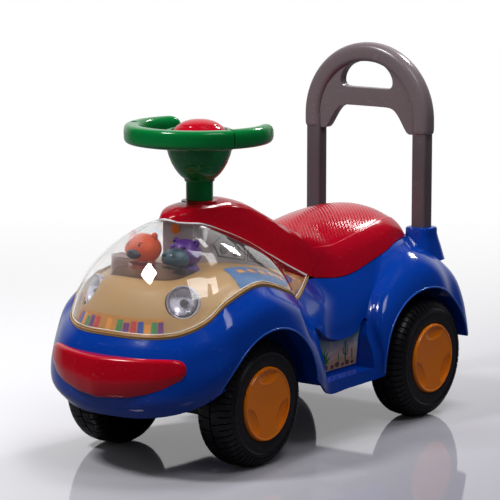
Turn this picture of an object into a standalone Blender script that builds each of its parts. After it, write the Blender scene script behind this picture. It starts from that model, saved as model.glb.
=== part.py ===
"""Kids ride-on car: foot-to-floor toy with a clear nose dome, lift-up seat, steered front
wheels and a push handle behind the seat.

Units are metres, +Z is up, +X is the car's left side and -Y is its front. The origin is the
middle of the bounding box at floor level.
"""
import math

import bmesh
import bpy
import numpy as np
from mathutils import Matrix, Vector

for old in list(bpy.data.objects):
    bpy.data.objects.remove(old, do_unlink=True)

# Fits and walls
GAP = 0.0003
RUN = 0.0005
WALL = 0.003
LEDGE = 0.009

# Wheels and axles
WHEEL_R = 0.0775
TYRE_W = 0.053
WHEELBASE = 0.343
FRONT_Y = -0.139
REAR_Y = FRONT_Y + WHEELBASE
FRONT_TRACK_OUT = 0.1275
REAR_TRACK_OUT = 0.1404
AXLE_R = 0.005
BORE_R = AXLE_R + RUN
HUB_R = 0.014
CAP_R = 0.045
CAP_PROUD = 0.003
CAP_SEAT = 0.007
NUT_R = 0.010
NUT_T = 0.003
TYRE_WALL = 0.005
TYRE_WEB = 0.005

# Wheel arches
ARCH_R = 0.0920
ARCH_LIP_X = 0.118
TUNNEL_R = 0.100
REAR_ARCH_R = 0.0955
REAR_ARCH_Y = REAR_Y - 0.0105
REAR_ARCH_Z = WHEEL_R - 0.002
WELL_ROOM = 0.0074
REAR_WELL_X = REAR_TRACK_OUT - TYRE_W - WELL_ROOM

# Steering
COLUMN_Y = -0.1035
COLUMN_R = 0.004
STEM_R = 0.0165
STEM_LOW = 0.3083
SCREW_R = 0.0018
SCREW_Z = 0.322
BOWL_LOW = 0.333
BOWL_HIGH = 0.372
BOWL_R = 0.0395
RIM_R = 0.0815
RIM_Z = 0.390
RIM_HALF_W = 0.0100
RIM_HALF_H = 0.0125
GRIP_HALF_W = 0.0094
GRIP_HALF_H = 0.0118
GRIP_START = math.radians(65)
GRIP_END = math.radians(126)
SPIGOT_R = 0.006
SPIGOT_L = math.radians(12)
PLATE_T = 0.007
PLATE_HALF = math.radians(64)
HUB_CAVITY_R = 0.0312
HUB_FLOOR = 0.352
BUTTON_R = 0.033
BUTTON_LOW = 0.3895
BUTTON_TOP = 0.4060
BUTTON_SKIRT_R = 0.029
BUTTON_SKIRT_LOW = 0.379
BUTTON_TRAVEL = 0.003
SPRING_R = 0.007
SPRING_WIRE_R = 0.0007
SPRING_TURNS = 4
MODULE_H = 0.013
MODULE_R = 0.024
ARM = 0.030
KINGPIN_X = 0.060
KINGPIN_R = 0.003
BARREL_R = 0.0078
BARREL_HALF = 0.017
YOKE_T = 0.007
YOKE_R = 0.0075
BEAM_HALF_Y = 0.009
ARM_Z = 0.0995
ARM_T = 0.005
TIE_T = 0.005
PIN_R = 0.0028
CRANK_T = 0.006

# Push handle
HANDLE_X = 0.084
HANDLE_Y = 0.2625
HANDLE_TOP = 0.474
LEG_HALF_X = 0.0112
LEG_HALF_Y = 0.0100
LEG_WALL = 0.003
LEG_LOW = 0.168
LEG_HIGH = HANDLE_TOP - 0.099
ARCH_OUTER = 0.0985
ARCH_BAND = 0.0255
ARCH_HALF_Y = 0.0120
WEB_HALF_Y = 0.007
SLEEVE_LOW = HANDLE_TOP - 0.116
SOCKET_TOP = 0.2365
SOCKET_LOW = 0.155
SOCKET_HALF_X = 0.0185
SOCKET_HALF_Y = 0.0170
SOCKET_FLARE = 0.010

# Seat, cowl and bin
SEAM_Y = 0.0470
SEAT_END = 0.2530
SEAT_ROUND_Y = 0.2330
SEAT_LIFT = 0.0011
HINGE_Y = SEAM_Y + 0.0053
HINGE_Z = 0.2500
HINGE_PIN_R = 0.0015
HINGE_BARREL_R = 0.0040
HINGE_BARREL_HALF = 0.018
LUG_W = 0.006
BIN_HALF_X = 0.062
BIN_FRONT = 0.066
BIN_REAR = 0.228
BIN_LOW = 0.0998
BIN_TOP = 0.1880
BIN_T = 0.0025

# Dome, deck and console
DOME_T = 0.0018
DOME_FULLNESS = 1.42
DECK_T = 0.0025
RIM_INSET = 0.0035
PLATEAU_Z = 0.229
CONSOLE_FRONT = -0.147
CONSOLE_REAR = 0.010
CONSOLE_HALF_FRONT = 0.0235
CONSOLE_HALF_REAR = 0.0455
CONSOLE_T = 0.0025
LAMP_X = 0.0655
LAMP_Y = -0.2195
LAMP_Z = 0.2045
LAMP_R = 0.0203
LAMP_DEPTH = 0.008
LAMP_TURN = math.radians(30)
LAMP_TILT = math.radians(18)
SCREEN_H = 0.016
SCREEN_T = 0.0016
FIGURE_X = 0.032
FIGURE_Y = -0.173
HEAD_R = 0.0205

# Running board recess
BOARD_TOP = 0.083
RECESS_X = 0.1035
RECESS_FRONT = -0.024
RECESS_LEAN = 0.012
RECESS_REAR = 0.085
STICKER_T = 0.0004

# Bumper
BUMPER_HALF = 0.1005
NOSE_TIP = -0.3075

# Outer skin of the body, left half, as ribs from the nose centre round to the tail centre.
# Each rib runs from the lower lip up over the shoulder to the edge of the top opening.
BODY_RIBS = [
    [(0, -.284, .074), (0, -.2935, .088), (0, -.295, .112), (0, -.291, .135), (0, -.284, .153), (0, -.275, .166)],
    [(.050, -.277, .075), (.0515, -.288, .090), (.0515, -.289, .113), (.051, -.285, .136), (.050, -.278, .153),
     (.049, -.269, .166)],
    [(.088, -.259, .082), (.0925, -.270, .096), (.0925, -.270, .117), (.0915, -.265, .138), (.0895, -.258, .156),
     (.083, -.250, .170)],
    [(.116, -.237, .096), (.1200, -.241, .109), (.1210, -.240, .125), (.1195, -.234, .145), (.115, -.228, .166),
     (.103, -.222, .183)],
    [(.136, -.200, .120), (.1385, -.202, .131), (.1390, -.203, .143), (.136, -.202, .160), (.129, -.199, .181),
     (.112, -.193, .199)],
    [(.140, -.139, .120), (.1420, -.139, .138), (.1430, -.139, .155), (.1415, -.139, .174), (.135, -.137, .194),
     (.115, -.133, .208)],
    [(.141, -.088, .110), (.1430, -.087, .126), (.1425, -.086, .143), (.1385, -.082, .162), (.130, -.076, .181),
     (.112, -.068, .194)],
    [(.1375, -.043, .087), (.1385, -.045, .106), (.1355, -.046, .130), (.129, -.047, .151), (.119, -.048, .170),
     (.1045, -.045, .184)],
    [(.132, -.015, .068), (.130, -.012, .100), (.1205, -.008, .128), (.1135, -.002, .150), (.102, .004, .172),
     (.084, .008, .193)],
    [(.1315, .025, .068), (.1265, .028, .100), (.1145, .032, .126), (.108, .036, .148), (.0955, .040, .170),
     (.071, .046, .193)],
    [(.131, .060, .068), (.1255, .064, .100), (.1125, .070, .127), (.1065, .075, .150), (.0965, .081, .170),
     (.080, .088, .194)],
    [(.1325, .083, .069), (.1265, .086, .100), (.111, .092, .132), (.1045, .104, .158), (.0975, .122, .179),
     (.0845, .135, .204)],
    [(.1360, .095, .071), (.1330, .097, .101), (.115, .101, .139), (.1065, .119, .167), (.0990, .145, .189),
     (.0845, .160, .210)],
    [(.1400, .110, .073), (.1400, .111, .110), (.134, .117, .146), (.1225, .136, .178), (.108, .163, .1995),
     (.0845, .183, .2165)],
    [(.143, .204, .078), (.1445, .204, .125), (.1435, .204, .163), (.134, .204, .192), (.113, .204, .2105),
     (.082, .206, .224)],
    [(.143, .255, .085), (.144, .255, .115), (.140, .254, .148), (.131, .253, .178), (.112, .250, .201),
     (.075, .238, .226)],
    [(.139, .294, .095), (.137, .292, .116), (.133, .288, .144), (.125, .280, .172), (.107, .268, .195),
     (.066, .2475, .228)],
    [(.105, .3050, .095), (.103, .3035, .117), (.100, .2995, .145), (.095, .2915, .173), (.084, .279, .198),
     (.045, .2535, .231)],
    [(0, .3075, .095), (0, .3065, .118), (0, .3025, .147), (0, .295, .177), (0, .283, .204), (0, .257, .233)],
]
COCKPIT_RIBS = 9

# Where each cockpit rib of the deck ends inwards: the edge of its raised middle.
DECK_INNER = [
    (0, -.2175, .229), (.022, -.2155, .229), (.038, -.208, .229), (.0435, -.190, .231), (.045, -.165, .234),
    (.045, -.125, .236), (.045, -.075, .229), (.047, -.030, .219), (.050, .010, .209), (.053, .040, .1945),
]
DECK_RISE = [(0.0, 0.0), (0.13, 0.03), (0.30, 0.42), (0.55, 0.78), (0.78, 0.94), (1.0, 1.0)]

# Cowl stations: y, half width, lower edge z, crown z.
COWL = [
    (-.1675, .006, .2900, .2935), (-.162, .0165, .2890, .2985), (-.150, .0250, .2875, .3035),
    (-.132, .0305, .2850, .3065), (-.1035, .0355, .2735, .3080), (-.075, .0400, .2610, .3085),
    (-.045, .0450, .2460, .3020), (-.0175, .0495, .2310, .2900), (.015, .0560, .2130, .2725),
    (.0435, .0628, .1985, .2562), (.0467, .0622, .1968, .2520),
]

# Seat crown line: y, crown z. Its lower edge follows the body's top opening.
SEAT_CROWN = [
    (.047, .2520), (.0505, .2548), (.080, .2610), (.120, .2660), (.160, .2685), (.200, .2680), (.225, .2650),
    (.240, .2595), (.2485, .2520), (.2530, .2430),
]
# Share of the half width and of the height at each point of a cowl or seat section.
SECTION = [(1.0, 0.0), (0.94, 0.22), (0.865, 0.50), (0.765, 0.765), (0.62, 0.885), (0.36, 0.965), (0.0, 1.0)]
SEAT_SECTION = [(1.0, 0.0), (0.945, 0.17), (0.87, 0.36), (0.75, 0.55), (0.58, 0.74), (0.33, 0.925), (0.0, 1.0)]


# Numbers to curves

def spline(points, steps, mirror_ends=False):
    """A Catmull-Rom curve through the points, with a number of steps to each interval."""
    p = [np.array(q, float) for q in points]
    flip = np.array([-1.0, 1.0, 1.0])
    first = p[1] * flip if mirror_ends else 2 * p[0] - p[1]
    last = p[-2] * flip if mirror_ends else 2 * p[-1] - p[-2]
    ext = [first] + p + [last]
    out = []
    for i in range(len(p) - 1):
        a, b, c, d = ext[i:i + 4]
        for k in range(steps):
            t = k / steps
            out.append(0.5 * (2 * b + (c - a) * t + (2 * a - 5 * b + 4 * c - d) * t * t
                              + (3 * b - a - 3 * c + d) * t ** 3))
    out.append(p[-1])
    return out


def surface(ribs, u_steps, v_steps, mirror_ends=True):
    """Points of a smooth surface through the ribs, as an array indexed by rib then height."""
    rails = [spline([rib[j] for rib in ribs], u_steps, mirror_ends) for j in range(len(ribs[0]))]
    return np.array([spline([rail[i] for rail in rails], v_steps) for i in range(len(rails[0]))])


def offset(grid, distance, mirror_ends=True):
    """The surface moved outwards by a distance along its own normals."""
    flip = np.array([-1.0, 1.0, 1.0])
    n = len(grid)
    out = grid.copy()
    for i in range(n):
        before = grid[i - 1] if i else (grid[1] * flip if mirror_ends else grid[0])
        after = grid[i + 1] if i < n - 1 else (grid[-2] * flip if mirror_ends else grid[-1])
        du = after - before
        dv = np.gradient(grid[i], axis=0)
        normal = np.cross(du, dv)
        normal /= np.linalg.norm(normal, axis=1)[:, None]
        out[i] = grid[i] + normal * distance
    if mirror_ends:
        out[0][:, 0] = 0.0
        out[-1][:, 0] = 0.0
    return out


def at(table, y):
    """The row of a table, in order of its first column, at a given y."""
    ys = [row[0] for row in table]
    return [float(np.interp(y, ys, [row[k] for row in table])) for k in range(1, len(table[0]))]


# Objects

MATERIALS = {}


def material(name, colour, roughness=0.4, metallic=0.0, alpha=1.0):
    if name not in MATERIALS:
        mat = bpy.data.materials.new(name)
        mat.use_nodes = True
        shader = mat.node_tree.nodes["Principled BSDF"]
        shader.inputs["Base Color"].default_value = (*colour, 1.0)
        shader.inputs["Roughness"].default_value = roughness
        shader.inputs["Metallic"].default_value = metallic
        shader.inputs["Alpha"].default_value = alpha
        MATERIALS[name] = mat
    return MATERIALS[name]


BLUE = ("blue plastic", (0.008, 0.045, 0.42), 0.25)
RED = ("red plastic", (0.45, 0.008, 0.02), 0.28)
GREEN = ("green plastic", (0.0, 0.19, 0.045), 0.28)
CREAM = ("cream plastic", (0.75, 0.52, 0.24), 0.4)
GREY = ("warm grey plastic", (0.12, 0.095, 0.10), 0.4)
CONSOLE_GREY = ("console grey plastic", (0.28, 0.27, 0.27), 0.5)
BLACK = ("black plastic", (0.012, 0.012, 0.015), 0.5)
ORANGE = ("orange plastic", (0.82, 0.22, 0.012), 0.3)
STEEL = ("steel", (0.6, 0.6, 0.62), 0.3, 1.0)
CLEAR = ("clear plastic", (0.95, 0.97, 1.0), 0.05, 0.0, 0.25)
SMOKE = ("smoked plastic", (0.35, 0.22, 0.2), 0.15, 0.0, 0.5)
CHROME = ("chrome plating", (0.8, 0.8, 0.8), 0.12, 1.0)
FUR = ("orange figure plastic", (0.85, 0.17, 0.03), 0.5)
PURPLE = ("purple figure plastic", (0.1, 0.02, 0.22), 0.5)
TEAL = ("dark teal figure plastic", (0.02, 0.08, 0.12), 0.5)
LABEL = ("printed label", (0.3, 0.55, 0.7), 0.4)


def collection(name):
    made = bpy.data.collections.new(name)
    bpy.context.scene.collection.children.link(made)
    return made


PARTS = collection("ride_on_car")
CUTTERS = collection("cutters")


def add_object(name, data, finish=None, location=(0, 0, 0), rotation=(0, 0, 0)):
    obj = bpy.data.objects.new(name, data)
    obj.location = location
    obj.rotation_euler = rotation
    if finish:
        PARTS.objects.link(obj)
        obj.data.materials.append(material(*finish))
    else:
        CUTTERS.objects.link(obj)
        obj.hide_render = True
        obj.display_type = "WIRE"
    return obj


def mesh_object(name, bm, finish=None, location=(0, 0, 0), rotation=(0, 0, 0), smooth=True):
    bmesh.ops.recalc_face_normals(bm, faces=bm.faces)
    mesh = bpy.data.meshes.new(name)
    bm.to_mesh(mesh)
    bm.free()
    if smooth:
        mesh.shade_smooth()
        mesh.set_sharp_from_angle(angle=math.radians(35))
    return add_object(name, mesh, finish, location, rotation)


def boolean(obj, other, operation="DIFFERENCE"):
    mod = obj.modifiers.new(operation.lower() + "_" + other.name, "BOOLEAN")
    mod.operation = operation
    mod.solver = "EXACT"
    mod.object = other
    return obj


def cut(obj, *others):
    for other in others:
        boolean(obj, other)
    return obj


def join(obj, *others):
    for other in others:
        boolean(obj, other, "UNION")
    return obj


def bevel(obj, width, segments=2, angle=40):
    mod = obj.modifiers.new("rounded edges", "BEVEL")
    mod.width = width
    mod.segments = segments
    mod.limit_method = "ANGLE"
    mod.angle_limit = math.radians(angle)
    mod.use_clamp_overlap = True
    return obj


def box(name, low, high, finish=None, location=(0, 0, 0), rotation=(0, 0, 0)):
    low, high = Vector(low), Vector(high)
    bm = bmesh.new()
    bmesh.ops.create_cube(bm, size=1.0)
    size = high - low
    bmesh.ops.scale(bm, vec=size, verts=bm.verts)
    bmesh.ops.translate(bm, vec=(low + high) / 2, verts=bm.verts)
    return mesh_object(name, bm, finish, location, rotation, smooth=False)


def cylinder(name, radius, start, end, finish=None, segments=24, radius_end=None, origin=None):
    """A cylinder or cone between two points."""
    start, end = Vector(start), Vector(end)
    line = end - start
    bm = bmesh.new()
    bmesh.ops.create_cone(bm, cap_ends=True, segments=segments, radius1=radius,
                          radius2=radius if radius_end is None else radius_end, depth=line.length)
    turn = line.to_track_quat("Z", "Y").to_matrix().to_4x4()
    place = Matrix.Translation((start + end) / 2 - Vector(origin or (0, 0, 0))) @ turn
    bmesh.ops.transform(bm, matrix=place, verts=bm.verts)
    return mesh_object(name, bm, finish, origin or (0, 0, 0))


def ball(name, centre, radii, finish=None, segments=14, rings=8, rotation=(0, 0, 0)):
    bm = bmesh.new()
    bmesh.ops.create_uvsphere(bm, u_segments=segments, v_segments=rings, radius=1.0)
    bmesh.ops.scale(bm, vec=radii, verts=bm.verts)
    return mesh_object(name, bm, finish, centre, rotation)


def turned(name, outline, finish=None, location=(0, 0, 0), rotation=(0, 0, 0), steps=32, closed=False):
    """A shape of revolution about its own Z. The outline runs down its outer side."""
    mesh = bpy.data.meshes.new(name)
    count = len(outline)
    edges = [(i, i + 1) for i in range(count - 1)]
    if closed:
        edges.append((count - 1, 0))
    mesh.from_pydata([(r, 0, z) for r, z in outline], edges, [])
    obj = add_object(name, mesh, finish, location, rotation)
    screw = obj.modifiers.new("turned", "SCREW")
    screw.steps = screw.render_steps = steps
    screw.use_merge_vertices = True
    screw.merge_threshold = 0.00001
    return obj


def half_loft(name, grid, finish=None):
    """A closed solid from a left half surface, its mirror image and a cover above and below."""
    bm = bmesh.new()
    left, right = [], []
    for column in grid:
        verts = [bm.verts.new(p) for p in column]
        left.append(verts)
        on_plane = abs(column[0][0]) < 1e-7
        right.append(verts if on_plane else [bm.verts.new((-p[0], p[1], p[2])) for p in column])
    rows = len(grid[0])
    for i in range(len(grid) - 1):
        for side in (left, right):
            for j in range(rows - 1):
                bm.faces.new((side[i][j], side[i + 1][j], side[i + 1][j + 1], side[i][j + 1]))
        for j in (0, rows - 1):
            ring = [left[i][j], left[i + 1][j], right[i + 1][j], right[i][j]]
            ring = [v for k, v in enumerate(ring) if v not in ring[:k]]
            bm.faces.new(ring)
    bm.normal_update()
    bmesh.ops.triangulate(bm, faces=bm.faces)
    return mesh_object(name, bm, finish)


def sheet(name, grid, thickness, finish=None, fill=False, straight_down=False):
    """A shell from a left half surface and its mirror image; it may be filled across its last row.

    Its wall lies inside the surface, or straight below it.
    """
    bm = bmesh.new()
    left, right = [], []
    for column in grid:
        verts = [bm.verts.new(p) for p in column]
        left.append(verts)
        on_plane = abs(column[0][0]) < 1e-7
        right.append(verts if on_plane else [bm.verts.new((-p[0], p[1], p[2])) for p in column])
    rows = len(grid[0])
    for i in range(len(grid) - 1):
        for j in range(rows - 1):
            bm.faces.new((left[i][j], left[i + 1][j], left[i + 1][j + 1], left[i][j + 1]))
            bm.faces.new((right[i][j + 1], right[i + 1][j + 1], right[i + 1][j], right[i][j]))
        if fill:
            ring = [left[i][-1], left[i + 1][-1], right[i + 1][-1], right[i][-1]]
            bm.faces.new([v for k, v in enumerate(ring) if v not in ring[:k]])
    bm.normal_update()
    bmesh.ops.triangulate(bm, faces=bm.faces)
    if straight_down:
        lower = bmesh.ops.extrude_face_region(bm, geom=bm.faces[:], use_keep_orig=True)["geom"]
        bmesh.ops.translate(bm, vec=(0, 0, -thickness), verts=[v for v in lower if isinstance(v, bmesh.types.BMVert)])
        return mesh_object(name, bm, finish)
    obj = mesh_object(name, bm, finish)
    wall = obj.modifiers.new("wall", "SOLIDIFY")
    wall.thickness = thickness
    wall.offset = -1.0
    wall.use_even_offset = True
    return obj


def loft(name, sections, finish=None, location=(0, 0, 0)):
    """A closed solid through sections that have the same number of points."""
    bm = bmesh.new()
    rings = [[bm.verts.new(p) for p in section] for section in sections]
    count = len(rings[0])
    for a, b in zip(rings, rings[1:]):
        for k in range(count):
            bm.faces.new((a[k], a[(k + 1) % count], b[(k + 1) % count], b[k]))
    bm.faces.new(rings[0])
    bm.faces.new(rings[-1])
    bm.normal_update()
    bmesh.ops.triangulate(bm, faces=[f for f in bm.faces if len(f.verts) > 4])
    return mesh_object(name, bm, finish, location)


def spun(name, outline, centre, start, end, steps, finish=None, location=(0, 0, 0)):
    """A flat outline of radius and height carried round a vertical axis from one angle to another.

    Angles are measured from the front, -Y, towards +X.
    """
    sections = []
    for k in range(steps + 1):
        a = start + (end - start) * k / steps
        sections.append([(centre[0] + r * math.sin(a), centre[1] - r * math.cos(a), z) for r, z in outline])
    return loft(name, sections, finish, location)


def oval(half_x, half_y, count=12, power=2.0, centre=(0, 0)):
    out = []
    for k in range(count):
        a = 2 * math.pi * (k + 0.5) / count
        c, s = math.cos(a), math.sin(a)
        out.append((centre[0] + half_x * math.copysign(abs(c) ** (2 / power), c),
                    centre[1] + half_y * math.copysign(abs(s) ** (2 / power), s)))
    return out


def flat_plate(name, outline, low, high, axis="X", finish=None):
    """A plate with a flat outline. It is thick along the given axis, from low to high."""
    def place(p, depth):
        if axis == "X":
            return (depth, p[0], p[1])
        if axis == "Y":
            return (p[0], depth, p[1])
        return (p[0], p[1], depth)
    return loft(name, [[place(p, low) for p in outline], [place(p, high) for p in outline]], finish)


SIDES = (("left", 1), ("right", -1))
BODY = surface(BODY_RIBS, 2, 1)
EDGE = BODY[:, -1]


def opening_edge(y):
    """Half width and height of the body's top opening at a given y, behind the cockpit."""
    rear = EDGE[2 * COCKPIT_RIBS:]
    return float(np.interp(y, rear[:, 1], rear[:, 0])), float(np.interp(y, rear[:, 1], rear[:, 2]))


def body_solid(name, distance):
    return half_loft(name, offset(BODY, distance))


def recess_cutter(name, side, grow):
    """The foot recess over the running board: its rear wall runs up into the crease of the fender."""
    rear = [(.0050, .1210), (.0125, .1365), (.0290, .1580)]
    top = [(-.022, .1480), (-.008, .1390), (.008, .1315), (.028, .1270), (.048, .1262), (.066, .1285), (.080, .1340),
           (.102, .1530), (.112, .1610)]
    pts = [(RECESS_FRONT - grow, BOARD_TOP - grow), (RECESS_REAR + grow, BOARD_TOP - grow)]
    pts += [(RECESS_REAR + y + grow, z - grow * 0.3) for y, z in rear]
    pts += [(y + grow * 0.3, z + grow) for y, z in reversed(top)]
    pts.append((RECESS_FRONT - RECESS_LEAN - grow, 0.154 + grow))
    return flat_plate(name, pts, side * (RECESS_X - grow), side * 0.17)


def make_body():
    body = body_solid("body_shell_outer", 0.0)
    body.name = "body_shell"
    CUTTERS.objects.unlink(body)
    PARTS.objects.link(body)
    body.hide_render = False
    body.display_type = "TEXTURED"
    body.data.materials.append(material(*BLUE))

    inner = offset(BODY, -WALL)
    tangent = np.gradient(EDGE[:, :2], axis=0)
    tangent[0], tangent[-1] = (1, 0), (-1, 0)
    inward = np.stack([-tangent[:, 1], tangent[:, 0]], axis=1)
    inward /= np.linalg.norm(inward, axis=1)[:, None]
    rows = []
    for i, column in enumerate(inner):
        low = column[0].copy()
        low[2] = 0.02
        under = EDGE[i].copy()
        under[:2] += inward[i] * LEDGE
        under[2] -= WALL
        if abs(EDGE[i][0]) < 1e-7:
            under[0] = 0.0
        above = under.copy()
        above[2] += 0.04
        rows.append([low, *column[:-1], under, above])
    hollow = half_loft("hollow", np.array(rows))

    def tunnel(name, radius, half):
        return cylinder(name, radius, (-half, FRONT_Y, WHEEL_R), (half, FRONT_Y, WHEEL_R), segments=48)

    cut(hollow, tunnel("tunnel_wall", TUNNEL_R + WALL, 0.2))
    cut(body, tunnel("tunnel_bore", TUNNEL_R, ARCH_LIP_X), tunnel("front_arch", ARCH_R, 0.2))
    for side_name, side in SIDES:
        def well(name, radius, start):
            return cylinder(name, radius, (side * start, REAR_ARCH_Y, REAR_ARCH_Z),
                            (side * 0.2, REAR_ARCH_Y, REAR_ARCH_Z), segments=40)
        cut(hollow, well("rear_well_wall_" + side_name, REAR_ARCH_R + WALL, REAR_WELL_X - WALL),
            recess_cutter("recess_wall_" + side_name, side, WALL))
        cut(body, well("rear_well_" + side_name, REAR_ARCH_R, REAR_WELL_X),
            recess_cutter("recess_" + side_name, side, 0.0))
    cut(body, hollow)
    for side_name, side in SIDES:
        x = side * HANDLE_X
        low = oval(SOCKET_HALF_X + SOCKET_FLARE, SOCKET_HALF_Y + SOCKET_FLARE, 16, 3.0, (x, HANDLE_Y))
        mid = oval(SOCKET_HALF_X + 0.45 * SOCKET_FLARE, SOCKET_HALF_Y + 0.45 * SOCKET_FLARE, 16, 3.5, (x, HANDLE_Y))
        high = oval(SOCKET_HALF_X, SOCKET_HALF_Y, 16, 3.5, (x, HANDLE_Y))
        base = oval(LEG_HALF_X + WALL + GAP, LEG_HALF_Y + WALL + GAP, 16, 5.0, (x, HANDLE_Y))
        steps = ((base, SOCKET_LOW), (base, 0.188), (low, 0.196), (mid, 0.212), (high, 0.228),
                 (high, SOCKET_TOP))
        socket = loft("socket_" + side_name, [[(p[0], p[1], z) for p in ring] for ring, z in steps])
        join(body, socket)
        bore = oval(LEG_HALF_X + GAP, LEG_HALF_Y + GAP, 16, 5.0, (x, HANDLE_Y))
        cut(body, flat_plate("leg_bore_" + side_name, bore, LEG_LOW - GAP, 0.3, "Z"))
        cut(body, cylinder("rear_axle_hole_" + side_name, AXLE_R + WALL, (side * 0.07, REAR_Y, WHEEL_R),
                           (side * 0.09, REAR_Y, WHEEL_R)))
    join(body, box("bin_shelf", (-REAR_WELL_X + 0.001, BIN_FRONT - 0.004, BIN_LOW - GAP - WALL),
                   (REAR_WELL_X - 0.001, BIN_REAR + 0.004, BIN_LOW - GAP)))
    cut(body, cylinder("column_hole", COLUMN_R + RUN, (0, COLUMN_Y, 0.15), (0, COLUMN_Y, 0.20), segments=16))
    return body


def make_bumper():
    """A boomerang-shaped bar: two faces that meet in a crease, pointed at the middle."""
    stations = [(0.0, NOSE_TIP, .1180, .1465, .0980), (.030, -.3010, .1195, .1467, .0995),
                (.060, -.2905, .1225, .1470, .1040), (.080, -.2800, .1255, .1472, .1090),
                (.091, -.2720, .1285, .1465, .1140), (.0975, -.2665, .1305, .1430, .1190),
                (BUMPER_HALF, -.2610, .1315, .1370, .1260)]
    sections = []
    for x, y_crease, z_crease, z_top, z_low in [(-s[0], *s[1:]) for s in reversed(stations[1:])] + stations:
        back = y_crease + 0.035
        sections.append([(x, back, z_top), (x, y_crease + 0.0085, z_top), (x, y_crease + 0.0035, z_top - 0.004),
                         (x, y_crease + 0.0005, z_crease + 0.006), (x, y_crease, z_crease),
                         (x, y_crease + 0.002, z_low + 0.004), (x, y_crease + 0.006, z_low), (x, back, z_low)])
    bumper = loft("front_bumper", sections, RED)
    return cut(bumper, body_solid("body_clearance", GAP))


def deck_grid(inset, drop):
    """The cream deck from the dome's rim up to its raised middle."""
    edge = spline([rib[-1] for rib in BODY_RIBS[:COCKPIT_RIBS + 1]], 2, True)
    edge[-1] = np.array(BODY_RIBS[COCKPIT_RIBS][-1])
    inner = spline(DECK_INNER, 2, True)
    inner[-1] = np.array(DECK_INNER[-1])
    grid = []
    for rim, mid in zip(edge, inner):
        line = mid - rim
        length = np.linalg.norm(line[:2])
        column = []
        for share, rise in DECK_RISE:
            t = (inset + share * (length - inset)) / length
            p = rim + line * t
            p[2] = rim[2] - drop + (mid[2] - rim[2] + drop) * rise
            column.append(p)
        grid.append(column)
    grid = np.array(grid)
    grid[0][:, 0] = 0.0
    return grid


def make_deck():
    deck = sheet("cockpit_deck", deck_grid(0.0015, -(DECK_T + GAP)), DECK_T, CREAM, fill=True,
                 straight_down=True)
    cut(deck, cylinder("deck_column_hole", 0.012, (0, COLUMN_Y, 0.15), (0, COLUMN_Y, 0.26), segments=16))
    cut(deck, ledge_room("deck_ledge_clearance"))
    for side_name, side in SIDES:
        centre, forward = lamp_frame(side)
        cut(deck, cylinder("lamp_hole_" + side_name, LAMP_R + GAP, centre - forward * (LAMP_DEPTH + 0.012),
                           centre + forward * 0.03, segments=28))
    return deck


def ledge_room(name):
    """What the body fills up to its top opening, raised by the gap."""
    room = body_solid(name, 0.0)
    room.location = (0, 0, GAP)
    return room


def deck_room(name):
    """The space from just over the deck downwards."""
    return sheet(name, deck_grid(0.0015, -(DECK_T + 2 * GAP)), 0.04, fill=True, straight_down=True)


def lamp_frame(side):
    forward = Vector((side * math.sin(LAMP_TURN), -math.cos(LAMP_TURN), math.tan(LAMP_TILT))).normalized()
    return Vector((side * LAMP_X, LAMP_Y, LAMP_Z)), forward


def make_lamps():
    for side_name, side in SIDES:
        centre, forward = lamp_frame(side)
        turn = forward.to_track_quat("Z", "Y").to_euler()
        turned("headlight_reflector_" + side_name,
               [(0, -0.0035), (0.010, -0.002), (0.0165, 0.003), (LAMP_R - 0.0012, 0.004), (LAMP_R, 0.003),
                (LAMP_R, -LAMP_DEPTH), (0, -LAMP_DEPTH)], CHROME, centre, turn, 22)
        turned("headlight_lens_" + side_name,
               [(0, 0.0078), (0.010, 0.0072), (0.0165, 0.0057), (LAMP_R - 0.0008, 0.0050), (LAMP_R - 0.0008, 0.0043),
                (0.0165, 0.0043), (0.010, 0.0050), (0, 0.0058)], CLEAR, centre, turn, 22)
        turned("headlight_bulb_" + side_name,
               [(0, 0.0045), (0.0022, 0.0040), (0.0032, 0.0020), (0.0032, -0.0025), (0, -0.0025)], BLACK, centre,
               turn, 12)


def dome_grid():
    """A bubble from the rim of the nose up to the lower edge of the cowl."""
    edge = spline([rib[-1] for rib in BODY_RIBS[:COCKPIT_RIBS + 1]], 2, True)
    edge[-1] = np.array(BODY_RIBS[COCKPIT_RIBS][-1])
    inner = spline(DECK_INNER, 2, True)
    top_y = [-.1700, -.1685, -.1640, -.1540, -.1380, -.1150, -.0750, -.0300, .0100, .0390]
    tops = []
    for y in top_y:
        half, low, crown = at(COWL, max(y, COWL[0][0]))
        tops.append((half - 0.0005, y, low - GAP))
    tops[0] = (0.0, -0.1710, 0.2925)
    tops[1] = (0.0105, -0.1672, 0.2905)
    tops = spline(tops, 2, True)
    grid = []
    for rim, mid, top in zip(edge, inner, tops):
        line = (mid - rim)[:2]
        inward = line / np.linalg.norm(line) * RIM_INSET
        base = rim + np.array([inward[0], inward[1], DECK_T * 2 + GAP * 3])
        column = []
        for k in range(7):
            phi = math.radians(90) * k / 6
            p = base + (top - base) * (1 - max(math.cos(phi), 0.0) ** (2 / DOME_FULLNESS))
            p[2] = base[2] + (top[2] - base[2]) * math.sin(phi) ** (2 / DOME_FULLNESS)
            column.append(p)
        grid.append(column)
    grid = np.array(grid)
    grid[0][:, 0] = 0.0
    return grid


def make_dome():
    return sheet("dome", dome_grid(), DOME_T, CLEAR)


def section_points(half, low, high, y, shrink=0.0, slope=0.0):
    """One cowl or seat section, from the left lower edge over the crown to the right."""
    pts = []
    for first, second in zip(SECTION, SEAT_SECTION):
        w = first[0] + (second[0] - first[0]) * slope
        h = first[1] + (second[1] - first[1]) * slope
        pts.append((max(half - shrink, 0.001) * w, low + (high - low - shrink) * h))
    ring = [(x, y, z) for x, z in pts] + [(-x, y, z) for x, z in reversed(pts[:-1])]
    return ring


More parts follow.
